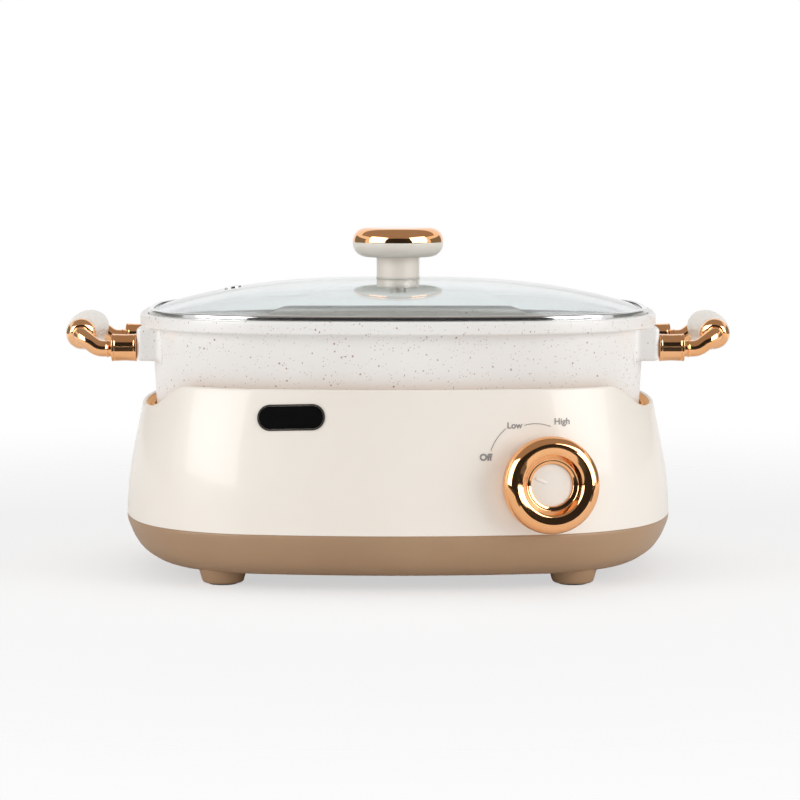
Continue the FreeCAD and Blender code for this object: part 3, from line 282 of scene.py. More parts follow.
def mesh_object(name: str, grids: list[np.ndarray], close_rows: bool = False,
                close_columns: bool = True, sharp: float = 32.0) -> Object:
    """Make one object from grids of points, with quads between neighbours and no open seams.

    Args:
        name: Name of the object.
        grids: Grids of shape (rows, columns, 3), in millimetres; a row that shrinks to a point
            becomes a pole.
        close_rows: Whether the last row joins the first.
        close_columns: Whether the last column joins the first.
        sharp: Angle in degrees above which an edge stays sharp.

    Returns:
        The object, linked to the scene.
    """
    vertices: list[np.ndarray] = []
    faces: list[np.ndarray] = []
    total = 0
    for grid in grids:
        rows, columns = grid.shape[:2]
        index = total + np.arange(rows * columns).reshape(rows, columns)
        if close_columns:
            index = np.concatenate([index, index[:, :1]], axis=1)
        if close_rows:
            index = np.concatenate([index, index[:1]], axis=0)
        faces.append(np.stack([index[:-1, :-1], index[:-1, 1:], index[1:, 1:], index[1:, :-1]],
                              axis=-1).reshape(-1, 4))
        vertices.append(grid.reshape(-1, 3))
        total += rows * columns
    mesh = bpy.data.meshes.new(name)
    mesh.from_pydata((np.concatenate(vertices) * MM).tolist(), [],
                     np.concatenate(faces).tolist())
    return finish_mesh(name, mesh, sharp)


def finish_mesh(name: str, mesh: bpy.types.Mesh, sharp: float) -> Object:
    """Merge doubles, shade smooth up to an angle, and link the mesh as an object.

    Args:
        name: Name of the object.
        mesh: The mesh.
        sharp: Angle in degrees above which an edge stays sharp.

    Returns:
        The object, linked to the scene.
    """
    work = bmesh.new()
    work.from_mesh(mesh)
    bmesh.ops.remove_doubles(work, verts=work.verts, dist=2e-7)
    bmesh.ops.dissolve_degenerate(work, edges=work.edges, dist=1e-7)
    work.to_mesh(mesh)
    work.free()
    mesh.shade_smooth()
    mesh.set_sharp_from_angle(angle=math.radians(sharp))
    mesh.validate()
    made = bpy.data.objects.new(name, mesh)
    bpy.context.scene.collection.objects.link(made)
    return made


def moved(grid: np.ndarray, place: Matrix) -> np.ndarray:
    """Grid carried by a placement: rotation times point plus offset, in millimetres."""
    turn = np.array(place.to_3x3())
    return grid @ turn.T + np.array(place.translation)


def placement(point: Triple, out: Triple, across: Triple) -> Matrix:
    """Placement whose Z points out, whose X runs across and whose Y is Z times X.

    Args:
        point: Origin, in millimetres.
        out: Direction of the new Z.
        across: Direction of the new X.

    Returns:
        The placement.
    """
    z_axis = Vector(out).normalized()
    x_axis = (Vector(across) - z_axis * Vector(across).dot(z_axis)).normalized()
    y_axis = z_axis.cross(x_axis)
    columns = Matrix((x_axis, y_axis, z_axis)).transposed().to_4x4()
    columns.translation = Vector(point)
    return columns


# ------------------------------------------------------------------ shared shader groups
class Group(Enum):
    """Shader groups that are used more than once."""

    GRAIN = "fine_grain"
    CLOUDS = "soft_clouds"
    SPECKS = "scattered_specks"


def new_group(kind: Group, inputs: dict[str, float], output: str) -> tuple[Tree, dict, Socket]:
    """Start a shader group with a position, number inputs and one number output.

    Args:
        kind: Name of the group.
        inputs: Each input's name and default.
        output: Name of the output.

    Returns:
        The group, its inputs by name, and the socket that its result goes to.
    """
    group = bpy.data.node_groups.new(kind.value, "ShaderNodeTree")
    group.interface.new_socket(name="Position", in_out="INPUT", socket_type="NodeSocketVector")
    for name, default in inputs.items():
        socket = group.interface.new_socket(name=name, in_out="INPUT",
                                            socket_type="NodeSocketFloat")
        socket.default_value = default
    group.interface.new_socket(name=output, in_out="OUTPUT", socket_type="NodeSocketFloat")
    inward = group.nodes.new("NodeGroupInput").outputs
    result = group.nodes.new("NodeGroupOutput").inputs[output]
    return group, {name: inward[name] for name in ("Position", *inputs)}, result


def connect(tree: Tree, item: object, socket: Socket) -> None:
    """Feed a socket from another one, or set it to a number or a colour.

    Args:
        tree: Where the link goes.
        item: A socket, a number or a colour.
        socket: The socket that is fed.
    """
    if isinstance(item, Socket):
        tree.links.new(item, socket)
    else:
        socket.default_value = (*item, 1.0) if isinstance(item, tuple) else float(item)


def math_node(tree: Tree, operation: str, first: object, second: object) -> Socket:
    """Add a Math node whose inputs are sockets or numbers.

    Args:
        tree: Where the node goes.
        operation: Name of the operation, such as MULTIPLY.
        first: First socket or number.
        second: Second socket or number.

    Returns:
        The node's output.
    """
    node = tree.nodes.new("ShaderNodeMath")
    node.operation = operation
    connect(tree, first, node.inputs[0])
    connect(tree, second, node.inputs[1])
    return node.outputs[0]


def noise_node(tree: Tree, position: Socket, scale: object, detail: float = 2.0,
               output: str = "Fac") -> Socket:
    """Add a Noise Texture on a position.

    Args:
        tree: Where the node goes.
        position: Position socket.
        scale: Scale in waves per metre, a socket or a number.
        detail: Detail of the noise.
        output: Name of the output that is wanted, Fac or Color.

    Returns:
        That output.
    """
    node = tree.nodes.new("ShaderNodeTexNoise")
    node.inputs["Detail"].default_value = detail
    tree.links.new(position, node.inputs["Vector"])
    connect(tree, scale, node.inputs["Scale"])
    return node.outputs[output]


def ramp(tree: Tree, value: Socket, low: object, high: object) -> Socket:
    """Map a value from low..high to 0..1 along a smooth S-curve.

    Args:
        tree: Where the node goes.
        value: The value.
        low: Value that becomes 0, a socket or a number.
        high: Value that becomes 1, a socket or a number.

    Returns:
        The mapped value.
    """
    node = tree.nodes.new("ShaderNodeMapRange")
    node.interpolation_type = "SMOOTHSTEP"
    tree.links.new(value, node.inputs["Value"])
    connect(tree, low, node.inputs["From Min"])
    connect(tree, high, node.inputs["From Max"])
    return node.outputs["Result"]


def grain_group() -> None:
    """Fine moulding grain: a height from two noises, one three times as fine as the other."""
    group, given, result = new_group(Group.GRAIN, {"Scale": 900.0}, "Height")
    coarse = noise_node(group, given["Position"], given["Scale"])
    fine = noise_node(group, given["Position"], math_node(group, "MULTIPLY", given["Scale"], 3.0))
    faint = math_node(group, "MULTIPLY", fine, 0.4)
    group.links.new(math_node(group, "ADD", coarse, faint), result)


def clouds_group() -> None:
    """Soft uneven patches, from 0 to 1: a broad noise through an S-curve."""
    group, given, result = new_group(Group.CLOUDS, {"Scale": 14.0, "Low": 0.35, "High": 0.65},
                                     "Mask")
    broad = noise_node(group, given["Position"], given["Scale"], 4.0)
    group.links.new(ramp(group, broad, given["Low"], given["High"]), result)


def specks_group() -> None:
    """Small scattered specks: near a cell's centre and only in the cells that a draw picks.

    A noise shifts the position first, so that no speck is quite round.
    """
    group, given, result = new_group(Group.SPECKS, {"Scale": 400.0, "Share": 0.3, "Size": 0.3},
                                     "Mask")
    bend = noise_node(group, given["Position"], math_node(group, "MULTIPLY", given["Scale"], 1.7),
                      output="Color")
    push = group.nodes.new("ShaderNodeVectorMath")
    push.operation = "SCALE"
    group.links.new(bend, push.inputs[0])
    group.links.new(math_node(group, "DIVIDE", 0.55, given["Scale"]), push.inputs["Scale"])
    place = group.nodes.new("ShaderNodeVectorMath")
    place.operation = "ADD"
    group.links.new(given["Position"], place.inputs[0])
    group.links.new(push.outputs[0], place.inputs[1])
    cells = group.nodes.new("ShaderNodeTexVoronoi")
    group.links.new(place.outputs[0], cells.inputs["Vector"])
    group.links.new(given["Scale"], cells.inputs["Scale"])
    split = group.nodes.new("ShaderNodeSeparateColor")
    group.links.new(cells.outputs["Color"], split.inputs["Color"])
    drawn = math_node(group, "LESS_THAN", split.outputs["Red"], given["Share"])
    width = math_node(group, "MULTIPLY", given["Size"],
                      math_node(group, "ADD", split.outputs["Green"], 0.35))
    inner = math_node(group, "MULTIPLY", width, 0.6)
    outside = ramp(group, cells.outputs["Distance"], inner, width)
    inside = math_node(group, "SUBTRACT", 1.0, outside)
    group.links.new(math_node(group, "MULTIPLY", inside, drawn), result)


BUILDERS = {Group.GRAIN: grain_group, Group.CLOUDS: clouds_group, Group.SPECKS: specks_group}


class Paint:
    """One material under construction: its Principled shader and helpers that feed it."""

    def __init__(self, name: str) -> None:
        """Start a material with a Principled shader and Object coordinates.

        Args:
            name: Name of the material.
        """
        self.material = bpy.data.materials.new(name)
        self.material.use_nodes = True
        self.tree = self.material.node_tree
        self.shader = self.tree.nodes["Principled BSDF"]
        self.position = self.tree.nodes.new("ShaderNodeTexCoord").outputs["Object"]

    def set(self, **values: object) -> None:
        """Set sockets of the shader directly, with underscores for spaces in their names."""
        for name, item in values.items():
            connect(self.tree, item, self.shader.inputs[name.replace("_", " ")])

    def group(self, kind: Group, **values: float) -> Socket:
        """Place a shared group with its own values.

        Args:
            kind: Which group.
            values: Its inputs.

        Returns:
            The group's output.
        """
        if kind.value not in bpy.data.node_groups:
            BUILDERS[kind]()
        node = self.tree.nodes.new("ShaderNodeGroup")
        node.node_tree = bpy.data.node_groups[kind.value]
        self.tree.links.new(self.position, node.inputs["Position"])
        for name, item in values.items():
            node.inputs[name].default_value = item
        return node.outputs[0]

    def blend(self, mask: Socket, low: object, high: object) -> Socket:
        """Mix two colours by a mask.

        Args:
            mask: The mask.
            low: Colour where the mask is 0, or its socket.
            high: Colour where the mask is 1, or its socket.

        Returns:
            The mixed colour.
        """
        node = self.tree.nodes.new("ShaderNodeMix")
        node.data_type = "RGBA"
        self.tree.links.new(mask, node.inputs["Factor"])
        connect(self.tree, low, node.inputs[6])
        connect(self.tree, high, node.inputs[7])
        return node.outputs[2]

    def span(self, mask: Socket, low: float, high: float) -> Socket:
        """Number that runs from low to high as a mask goes from 0 to 1."""
        share = math_node(self.tree, "MULTIPLY", mask, high - low)
        return math_node(self.tree, "ADD", share, low)

    def feed(self, name: str, socket: Socket) -> None:
        """Link a socket to the shader's input of that name."""
        self.tree.links.new(socket, self.shader.inputs[name])

    def bump(self, height: Socket, distance: float, strength: float) -> None:
        """Feed a height to the shader's normal.

        Args:
            height: Height from 0 to about 1.
            distance: Depth of the relief, in metres.
            strength: Share of the relief that is used.
        """
        node = self.tree.nodes.new("ShaderNodeBump")
        node.inputs["Distance"].default_value = distance
        node.inputs["Strength"].default_value = strength
        self.tree.links.new(height, node.inputs["Height"])
        self.feed("Normal", node.outputs["Normal"])


# ------------------------------------------------------------------ finishes
@dataclass(frozen=True)
class Plastic:
    """Moulded plastic with fine grain and a slightly uneven gloss."""

    name: str
    colour: Triple
    shade: Triple
    roughness: float = 0.34
    spread: float = 0.06
    coat: float = 0.0
    grain: float = 900.0
    relief: float = 0.00001

    def make(self) -> Material:
        """Build the material: cloudy colour and gloss, and a fine grain as relief.

        Returns:
            The material.
        """
        paint = Paint(self.name)
        paint.set(Coat_Weight=self.coat, Coat_Roughness=0.05, IOR=1.48)
        clouds = paint.group(Group.CLOUDS, Scale=9.0, Low=0.3, High=0.7)
        paint.feed("Base Color", paint.blend(clouds, self.shade, self.colour))
        paint.feed("Roughness", paint.span(clouds, self.roughness + self.spread, self.roughness))
        paint.bump(paint.group(Group.GRAIN, Scale=self.grain), self.relief, 0.5)
        return paint.material


@dataclass(frozen=True)
class Metal:
    """Polished, plated or drawn metal with faint marks in its gloss."""

    name: str
    colour: Triple
    tint: Triple
    roughness: float = 0.12
    spread: float = 0.05
    stretch: Triple = (1.0, 1.0, 1.0)
    scale: float = 300.0
    relief: float = 0.000002

    def make(self) -> Material:
        """Build the material: fine marks, drawn out along one axis, in gloss and relief.

        Returns:
            The material.
        """
        paint = Paint(self.name)
        paint.set(Metallic=1.0)
        mapping = paint.tree.nodes.new("ShaderNodeMapping")
        mapping.inputs["Scale"].default_value = self.stretch
        paint.tree.links.new(paint.position, mapping.inputs["Vector"])
        marks = noise_node(paint.tree, mapping.outputs["Vector"], self.scale, 3.0)
        clouds = paint.group(Group.CLOUDS, Scale=22.0, Low=0.35, High=0.75)
        paint.feed("Base Color", paint.blend(clouds, self.colour, self.tint))
        low = paint.span(clouds, self.roughness, self.roughness + self.spread)
        paint.feed("Roughness", math_node(paint.tree, "MULTIPLY", low,
                                          math_node(paint.tree, "ADD", marks, 0.5)))
        paint.bump(marks, self.relief, 0.3)
        return paint.material


@dataclass(frozen=True)
class SpeckledCoating:
    """Non-stick coating: off-white with fine brown and grey specks."""

    name: str = "speckled_coating"
    ground: Triple = linear(246, 244, 241)
    shade: Triple = linear(240, 237, 233)
    specks: tuple[tuple[float, float, float, float, Triple], ...] = (
        (820.0, 0.32, 0.27, 0.6, linear(144, 88, 66)),
        (460.0, 0.14, 0.27, 0.75, linear(144, 88, 66)),
        (280.0, 0.035, 0.21, 0.6, linear(112, 96, 90)))

    def make(self) -> Material:
        """Build the material: three sizes of specks over a cloudy ground, with a soft coat.

        Each row of specks gives the cells per metre, the share of cells, the size, the cover and
        the colour.

        Returns:
            The material.
        """
        paint = Paint(self.name)
        paint.set(Coat_Weight=0.25, Coat_Roughness=0.22, IOR=1.5)
        clouds = paint.group(Group.CLOUDS, Scale=11.0, Low=0.3, High=0.7)
        colour = paint.blend(clouds, self.shade, self.ground)
        for scale, share, size, cover, tone in self.specks:
            mask = paint.group(Group.SPECKS, Scale=scale, Share=share, Size=size)
            colour = paint.blend(math_node(paint.tree, "MULTIPLY", mask, cover), colour, tone)
        paint.feed("Base Color", colour)
        paint.feed("Roughness", paint.span(clouds, 0.42, 0.34))
        paint.bump(paint.group(Group.GRAIN, Scale=500.0), 0.00003, 0.5)
        return paint.material


@dataclass(frozen=True)
class Glass:
    """Clear tempered glass with a faint blue-green cast."""

    name: str = "tempered_glass"
    cast: Triple = (0.9, 0.945, 0.95)

    def make(self) -> Material:
        """Build the material: full transmission, and the faintest waves in its surface.

        Returns:
            The material.
        """
        paint = Paint(self.name)
        paint.set(Base_Color=self.cast, Roughness=0.0, IOR=1.47, Transmission_Weight=1.0)
        paint.bump(noise_node(paint.tree, paint.position, 6.0, 1.0), 0.0004, 0.25)
        return paint.material


@dataclass(frozen=True)
class Ink:
    """Printed marks: a flat tone with slightly uneven cover."""

    name: str = "grey_print"
    tone: Triple = linear(136, 133, 130)
    thin: Triple = linear(150, 147, 143)

    def make(self) -> Material:
        """Build the material: two close tones mixed by fine noise.

        Returns:
            The material.
        """
        paint = Paint(self.name)
        paint.set(Roughness=0.5)
        cover = paint.group(Group.CLOUDS, Scale=700.0, Low=0.3, High=0.7)
        paint.feed("Base Color", paint.blend(cover, self.tone, self.thin))
        return paint.material


def finishes() -> dict[str, Material]:
    """Make every finish once.

    Returns:
        The materials by the name of the record's slot, and the ink as "ink".
    """
    plastics = {
        "cream_plastic": ((245, 238, 228), (240, 232, 221), {"roughness": 0.4, "coat": 0.3}),
        "tan_plastic": ((174, 142, 110), (164, 132, 101), {"roughness": 0.38}),
        "well_liner": ((250, 192, 118), (244, 184, 108), {"roughness": 0.55, "grain": 500.0}),
        "dark_rubber": ((52, 48, 45), (44, 41, 38), {"roughness": 0.75, "relief": 0.00003}),
        "black_plastic": ((34, 33, 32), (26, 25, 24), {"roughness": 0.4}),
        "window_black": ((14, 14, 14), (10, 10, 10),
                         {"roughness": 0.08, "spread": 0.03, "coat": 0.6, "relief": 0.000001}),
        "dark_frame": ((66, 61, 56), (58, 54, 50), {"roughness": 0.2}),
        "circuit_board": ((38, 96, 60), (30, 84, 50), {"roughness": 0.35}),
        "clear_gasket": ((228, 224, 216), (220, 216, 208), {"roughness": 0.4}),
    }
    metals = {
        "rose_gold": ((250, 185, 128), (251, 195, 146), {"roughness": 0.045, "spread": 0.02}),
        "lid_steel": ((218, 218, 218), (208, 208, 208), {"roughness": 0.11}),
        "steel": ((200, 199, 196), (186, 185, 182),
                  {"roughness": 0.28, "stretch": (1.0, 1.0, 8.0)}),
        "bright_tray": ((214, 214, 214), (200, 200, 200),
                        {"roughness": 0.2, "stretch": (1.0, 6.0, 1.0)}),
        "element_metal": ((112, 106, 100), (92, 84, 80), {"roughness": 0.42, "spread": 0.12}),
        "probe_aluminium": ((212, 212, 214), (200, 200, 203), {"roughness": 0.26}),
        "pin_brass": ((212, 180, 108), (196, 164, 94), {"roughness": 0.22}),
    }
    made = {"speckled_coating": SpeckledCoating(), "clear_glass": Glass(), "ink": Ink()}
    for kind, rows in ((Plastic, plastics), (Metal, metals)):
        for slot, (colour, second, sizes) in rows.items():
            made[slot] = kind(slot, linear(*colour), linear(*second), **sizes)
    return {slot: finish.make() for slot, finish in made.items()}


# ------------------------------------------------------------------ pieces
@dataclass
class Piece:
    """What every drawn sub-assembly shares: its materials and how an object is handed over."""

    materials: dict[str, Material]

    def skin(self, name: str, grids: list[np.ndarray], slot: str, body: str, *nodes: str,
             **options: object) -> Object:
        """Make an object from grids, by mesh_object and its options, and add it."""
        return self.add(mesh_object(name, grids, **options), slot, body, *nodes)

    def add(self, made: Object, slot: str, body: str, *nodes: str) -> Object:
        """Dress an object, let it ride on its body and name the nodes that it stands for.

        Args:
            made: The object.
            slot: Material slot.
            body: Body that carries it.
            nodes: Nodes of the construction model that it takes the place of.

        Returns:
            The same object.
        """
        made.data.materials.clear()
        made.data.materials.append(self.materials[slot])
        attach(made, body)
        if nodes:
            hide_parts(*nodes)
        log.info("%s: %d faces, %s, on %s", made.name, len(made.data.polygons), slot, body)
        return made


SEAM_Z, BELLY_Z, SHOULDER_Z, RIM_Z = 35.3, 62.0, 92.0, 120.3
HOUSING = Stack((SEAM_Z, BELLY_Z, SHOULDER_Z, RIM_Z),
                (Oval(169.4, 132.5, 92.0, 190.0, 480.0), Oval(167.4, 131.0, 91.0, 200.0, 480.0),
                 Oval(161.6, 126.8, 89.0, 300.0, 500.0), Oval(156.0, 120.0, 87.0, 500.0, 520.0)))


@dataclass
class Housing(Piece):
    """Cream upper housing with a rim that dips at both ends, and the liner's sloping collar."""

    saddle_z: float = 105.8
    shoulder_x: float = 127.0
    foot_x: float = 152.0
    wall: float = 2.6
    bead: float = 1.1
    columns: int = 512
    rows: int = 40
    liner_saddle_z: float = 103.5
    liner_step: float = 1.6
    liner_inset: float = 2.9
    liner_wall: float = 1.2
    liner_slope: float = 3.0 / 74.7
    collar_drop: float = 1.0
    collar_lap: float = 0.2
    collar_lift: float = 0.1
    collar_thickness: float = 0.8
    skin_depth: float = 0.05

    def rim(self, theta: np.ndarray, saddle_z: float) -> np.ndarray:
        """Rim height above each angle: full, an S-curve down towards the ends, and the saddle.

        The S-curve runs between two distances as 3 t^2 - 2 t^3 of the share t that is left, and
        five rounds look up the distance at the last height.

        Args:
            theta: Angles of the normals.
            saddle_z: Height of the saddle, in millimetres.

        Returns:
            The height at each angle.
        """
        height = np.full_like(theta, RIM_Z)
        for _ in range(5):
            x, _y = oval_points(HOUSING.sizes(height), theta)
            share = np.clip((np.abs(x) - self.shoulder_x) / (self.foot_x - self.shoulder_x),
                            0.0, 1.0)
            height = RIM_Z - (RIM_Z - saddle_z) * share**2 * (3.0 - 2.0 * share)
        return height

    def collar(self) -> np.ndarray:
        """Closed band that slopes from the housing's edge down to the inside of the liner's.

        Returns:
            Points of shape (rows, columns, 3), in millimetres.
        """
        theta = ring_angles(self.columns)
        edge = HOUSING.wall(theta, self.rim(theta, self.saddle_z) - self.collar_drop,
                            np.full_like(theta, self.wall - self.collar_lap))
        height = self.rim(theta, self.liner_saddle_z) - self.liner_step + self.collar_lift
        inset = (self.liner_inset + self.liner_wall + self.skin_depth
                 + self.liner_slope * (RIM_Z - self.liner_step - height))
        x, y = oval_points(HOUSING.ovals[-1].row() - inset[:, None], theta)
        foot = np.stack([x, y, height], axis=-1)
        slope = edge + (foot - edge) * np.linspace(0.0, 1.0, 8)[:, None, None]
        below = slope[::-1] - np.array((0.0, 0.0, self.collar_thickness))
        return np.concatenate([slope, below])

    def surface(self, depth: float, share: np.ndarray, top: np.ndarray) -> np.ndarray:
        """Wall between the seam and a top line, at a depth below the outer surface.

        Args:
            depth: The depth, in millimetres.
            share: Share of the way up of each row.
            top: Height of the top line at each column.

        Returns:
            Points of shape (rows, columns, 3).
        """
        theta = np.broadcast_to(ring_angles(self.columns), (len(share), self.columns))
        height = SEAM_Z + share[:, None] * (top - SEAM_Z)
        return HOUSING.wall(theta, height, np.full_like(theta, depth))

    def build(self) -> None:
        """Outer wall, rounded rim and inner wall as one closed skin."""
        theta = ring_angles(self.columns)
        top = self.rim(theta, self.saddle_z)
        share = np.linspace(0.0, 1.0, self.rows)
        outer = self.surface(self.skin_depth, share, top - self.bead)
        turn = np.linspace(0.0, math.pi, 9)[1:-1]
        across = self.wall / 2.0
        depths = self.skin_depth + across * (1.0 - np.cos(turn))
        bead = np.stack([HOUSING.wall(theta, top - self.bead + self.bead * math.sin(angle),
                                      np.full_like(theta, depth))
                         for angle, depth in zip(turn, depths)])
        inner = self.surface(self.wall, share[::-1], top - self.bead)
        self.skin("upper_housing_skin", [np.concatenate([outer, bead, inner])], "cream_plastic",
                  "base", "upper_housing", close_rows=True)
        self.skin("liner_collar", [self.collar()], "well_liner", "base", close_rows=True,
                  sharp=50.0)


@dataclass
class LowerShell(Piece):
    """Tan bowl under the housing, with a groove at the seam."""

    heights: tuple[float, ...] = (9.0, 12.6, 19.4, 27.2, 35.3)
    insets: tuple[float, ...] = (20.0, 12.5, 5.8, 1.9, 0.0)
    span: tuple[float, float] = (9.2, 34.5)
    groove_z: Triple = (34.7, 34.9, 35.1)
    groove: Triple = (0.05, 0.25, 0.45)

    def build(self) -> None:
        """Outer skin of the bowl, laid over the construction model's shell.

        The inset follows the one polynomial through the given levels.
        """
        height = np.concatenate([np.linspace(*self.span, 40), self.groove_z])
        inset = np.polyval(np.polyfit(self.heights, self.insets, 4), height)
        inset[-3:] += np.array(self.groove)
        outer = oval_rings(HOUSING.ovals[0], np.stack([inset, height], axis=-1))
        self.skin("lower_shell_skin", [outer], "tan_plastic", "base")


FLANGE = Oval(159.5, 120.5, 92.0, 600.0, 520.0)
SIDES = {"left": -1.0, "right": 1.0}
ENDS = {"front": -1.0, "rear": 1.0}


def oval_rings(oval: Oval, profile: np.ndarray, count: int = 512) -> np.ndarray:
    """Grid of an outline offset inwards by the first number of each profile point, at its height.

    Args:
        oval: The outline at offset 0.
        profile: Rows of (offset inwards, height), in millimetres.
        count: Number of columns.

    Returns:
        Points of shape (rows, columns, 3).
    """
    theta = np.broadcast_to(ring_angles(count), (len(profile), count))
    sizes = oval.row() - profile[:, :1, None] * np.ones(5)
    x, y = oval_points(np.broadcast_to(sizes, (len(profile), count, 5)), theta)
    return np.stack([x, y, profile[:, 1:2] + 0.0 * theta], axis=-1)


def shrunk(ring: np.ndarray, shares: np.ndarray) -> np.ndarray:
    """Copies of one ring, each scaled in X and Y about the middle by its share."""
    return ring[None] * np.stack([shares, shares, np.ones_like(shares)], axis=-1)[:, None]


def rounded_box(half_height: float, half_width: float, radius: float,
                count: int = 20) -> np.ndarray:
    """Section of a rounded rectangle, counter-clockwise.

    Args:
        half_height: Half size along the first direction.
        half_width: Half size along the second direction.
        radius: Corner radius.
        count: Points in each corner.

    Returns:
        Points of shape (4 count, 2): a corner's centre plus radius times (cos, sin).
    """
    quarter = np.linspace(0.0, math.pi / 2.0, count)
    turns = np.concatenate([quarter + index * math.pi / 2.0 for index in range(4)])
    first = np.repeat((1.0, -1.0, -1.0, 1.0), count) * (half_height - radius)
    second = np.repeat((1.0, 1.0, -1.0, -1.0), count) * (half_width - radius)
    return np.stack([first + radius * np.cos(turns), second + radius * np.sin(turns)], axis=-1)


def capped_bar(start: np.ndarray, end: np.ndarray, shares: np.ndarray,
               sections: np.ndarray) -> np.ndarray:
    """Grid of sections placed at shares of a straight line, closed at both ends.

    Args:
        start: First point of the line, in millimetres.
        end: Last point.
        shares: Place of each section along the line, from 0 to 1.
        sections: Sections of shape (rows, points, 2): height and width.

    Returns:
        Points of shape (rows + 2, points, 3).
    """
    shares = np.concatenate([shares[:1], shares, shares[-1:]])
    blank = np.zeros_like(sections[:1])
    path = start + (end - start) * shares[:, None]
    sections = np.concatenate([blank, sections, blank])
    along = (end - start) / np.linalg.norm(end - start)
    up = np.array((0.0, 0.0, 1.0))
    other = np.cross(along, up)
    return path[:, None] + sections[..., :1] * up + sections[..., 1:] * other


@dataclass
class PotShell(Piece):
    """Cast pot with a rounded flange, a seat for the lid and four lugs."""

    floor: float = 62.5
    thickness: float = 3.5
    wall: float = 3.2
    foot_inset: float = 12.2
    neck_inset: float = 7.3
    floor_round: float = 12.0
    core_inset: float = 60.0
    flange: tuple[float, float] = (152.2, 160.2)
    seat: tuple[float, float] = (4.6, 2.6)
    lug_x: tuple[float, float] = (147.4, 159.0)
    lug_z: tuple[float, float] = (132.2, 153.0)
    arm_y: float = 49.0
    lug_half_width: float = 7.0
    lug_round: float = 2.4
    lug_fillet: float = 2.5
    lug_wall: float = 148.7
    lug_root: float = 9.6

    def bowl(self) -> np.ndarray:
        """Rows from the middle of the underside over the flange to the middle of the inside.

        Returns:
            Points of shape (rows, columns, 3), in millimetres.
        """
        low, high = self.flange
        depth = self.seat[1]
        outline = rounded_profile([
            (self.core_inset, self.floor), (self.foot_inset, self.floor, self.floor_round),
            (self.neck_inset, low, 1.4), (0.0, low, 1.6), (0.0, high, 1.3),
            (self.seat[0], high, 0.7), (self.seat[0] + 0.2, high - depth, 0.5),
            (self.neck_inset + self.wall, high - depth, 0.9),
            (self.foot_inset + self.wall, self.floor + self.thickness,
             self.floor_round - self.wall),
            (self.core_inset, self.floor + self.thickness)], 10)
        rings = oval_rings(FLANGE, outline)
        grow = np.linspace(0.0, 1.0, 8)
        return np.concatenate([shrunk(rings[0], grow[:-1]), rings,
                               shrunk(rings[-1], grow[::-1][1:])])

    def lug(self, side: float, end: float) -> np.ndarray:
        """One lug: sections widen into the wall by a hollow round and shrink at the outer end.

        Its length is then stretched linearly, so that its root follows the curved wall's middle.

        Args:
            side: -1 at the left, 1 at the right.
            end: -1 at the front, 1 at the rear.

        Returns:
            Points of shape (rows, points, 3), in millimetres.
        """
        turn_in = np.linspace(0.0, math.pi / 2.0, 200)
        turn = np.linspace(0.0, math.pi / 2.0, 8)
        fillet = self.lug_fillet
        shrink = np.concatenate([(-fillet,), -fillet * (1.0 - np.sin(turn)),
                                 self.lug_round * (1.0 - np.cos(turn))])
        reach = self.lug_x[1] - self.lug_x[0]
        from_wall = self.lug_wall - self.lug_x[0] + fillet * (1.0 - np.cos(turn))
        place = np.concatenate([(0.0,), from_wall,
                                reach - self.lug_round * (1.0 - np.sin(turn))]) / reach
        height = (self.lug_z[1] - self.lug_z[0]) / 2.0
        sections = np.stack([rounded_box(height - less, self.lug_half_width - less,
                                         max(self.lug_round - less, 0.05)) for less in shrink])
        middle = sum(self.lug_z) / 2.0
        start, stop = (np.array((side * x, end * self.arm_y, middle)) for x in self.lug_x)
        grid = capped_bar(start, stop, place, sections)
        sizes = np.broadcast_to(FLANGE.inset(self.lug_root).row(), (len(turn_in), 5))
        x, y = oval_points(sizes, turn_in)
        root = np.interp(np.abs(grid[..., 1]), y, x)
        share = (np.abs(grid[..., 0]) - self.lug_x[0]) / reach
        grid[..., 0] = side * (root + share * (self.lug_x[1] - root))
        return grid

    def build(self) -> None:
        """Pot and lugs as one object."""
        lugs = [self.lug(side, end) for side in SIDES.values() for end in ENDS.values()]
        self.skin("pot_shell_skin", [self.bowl(), *lugs], "speckled_coating", "pot", "pot_shell",
                  sharp=50.0)


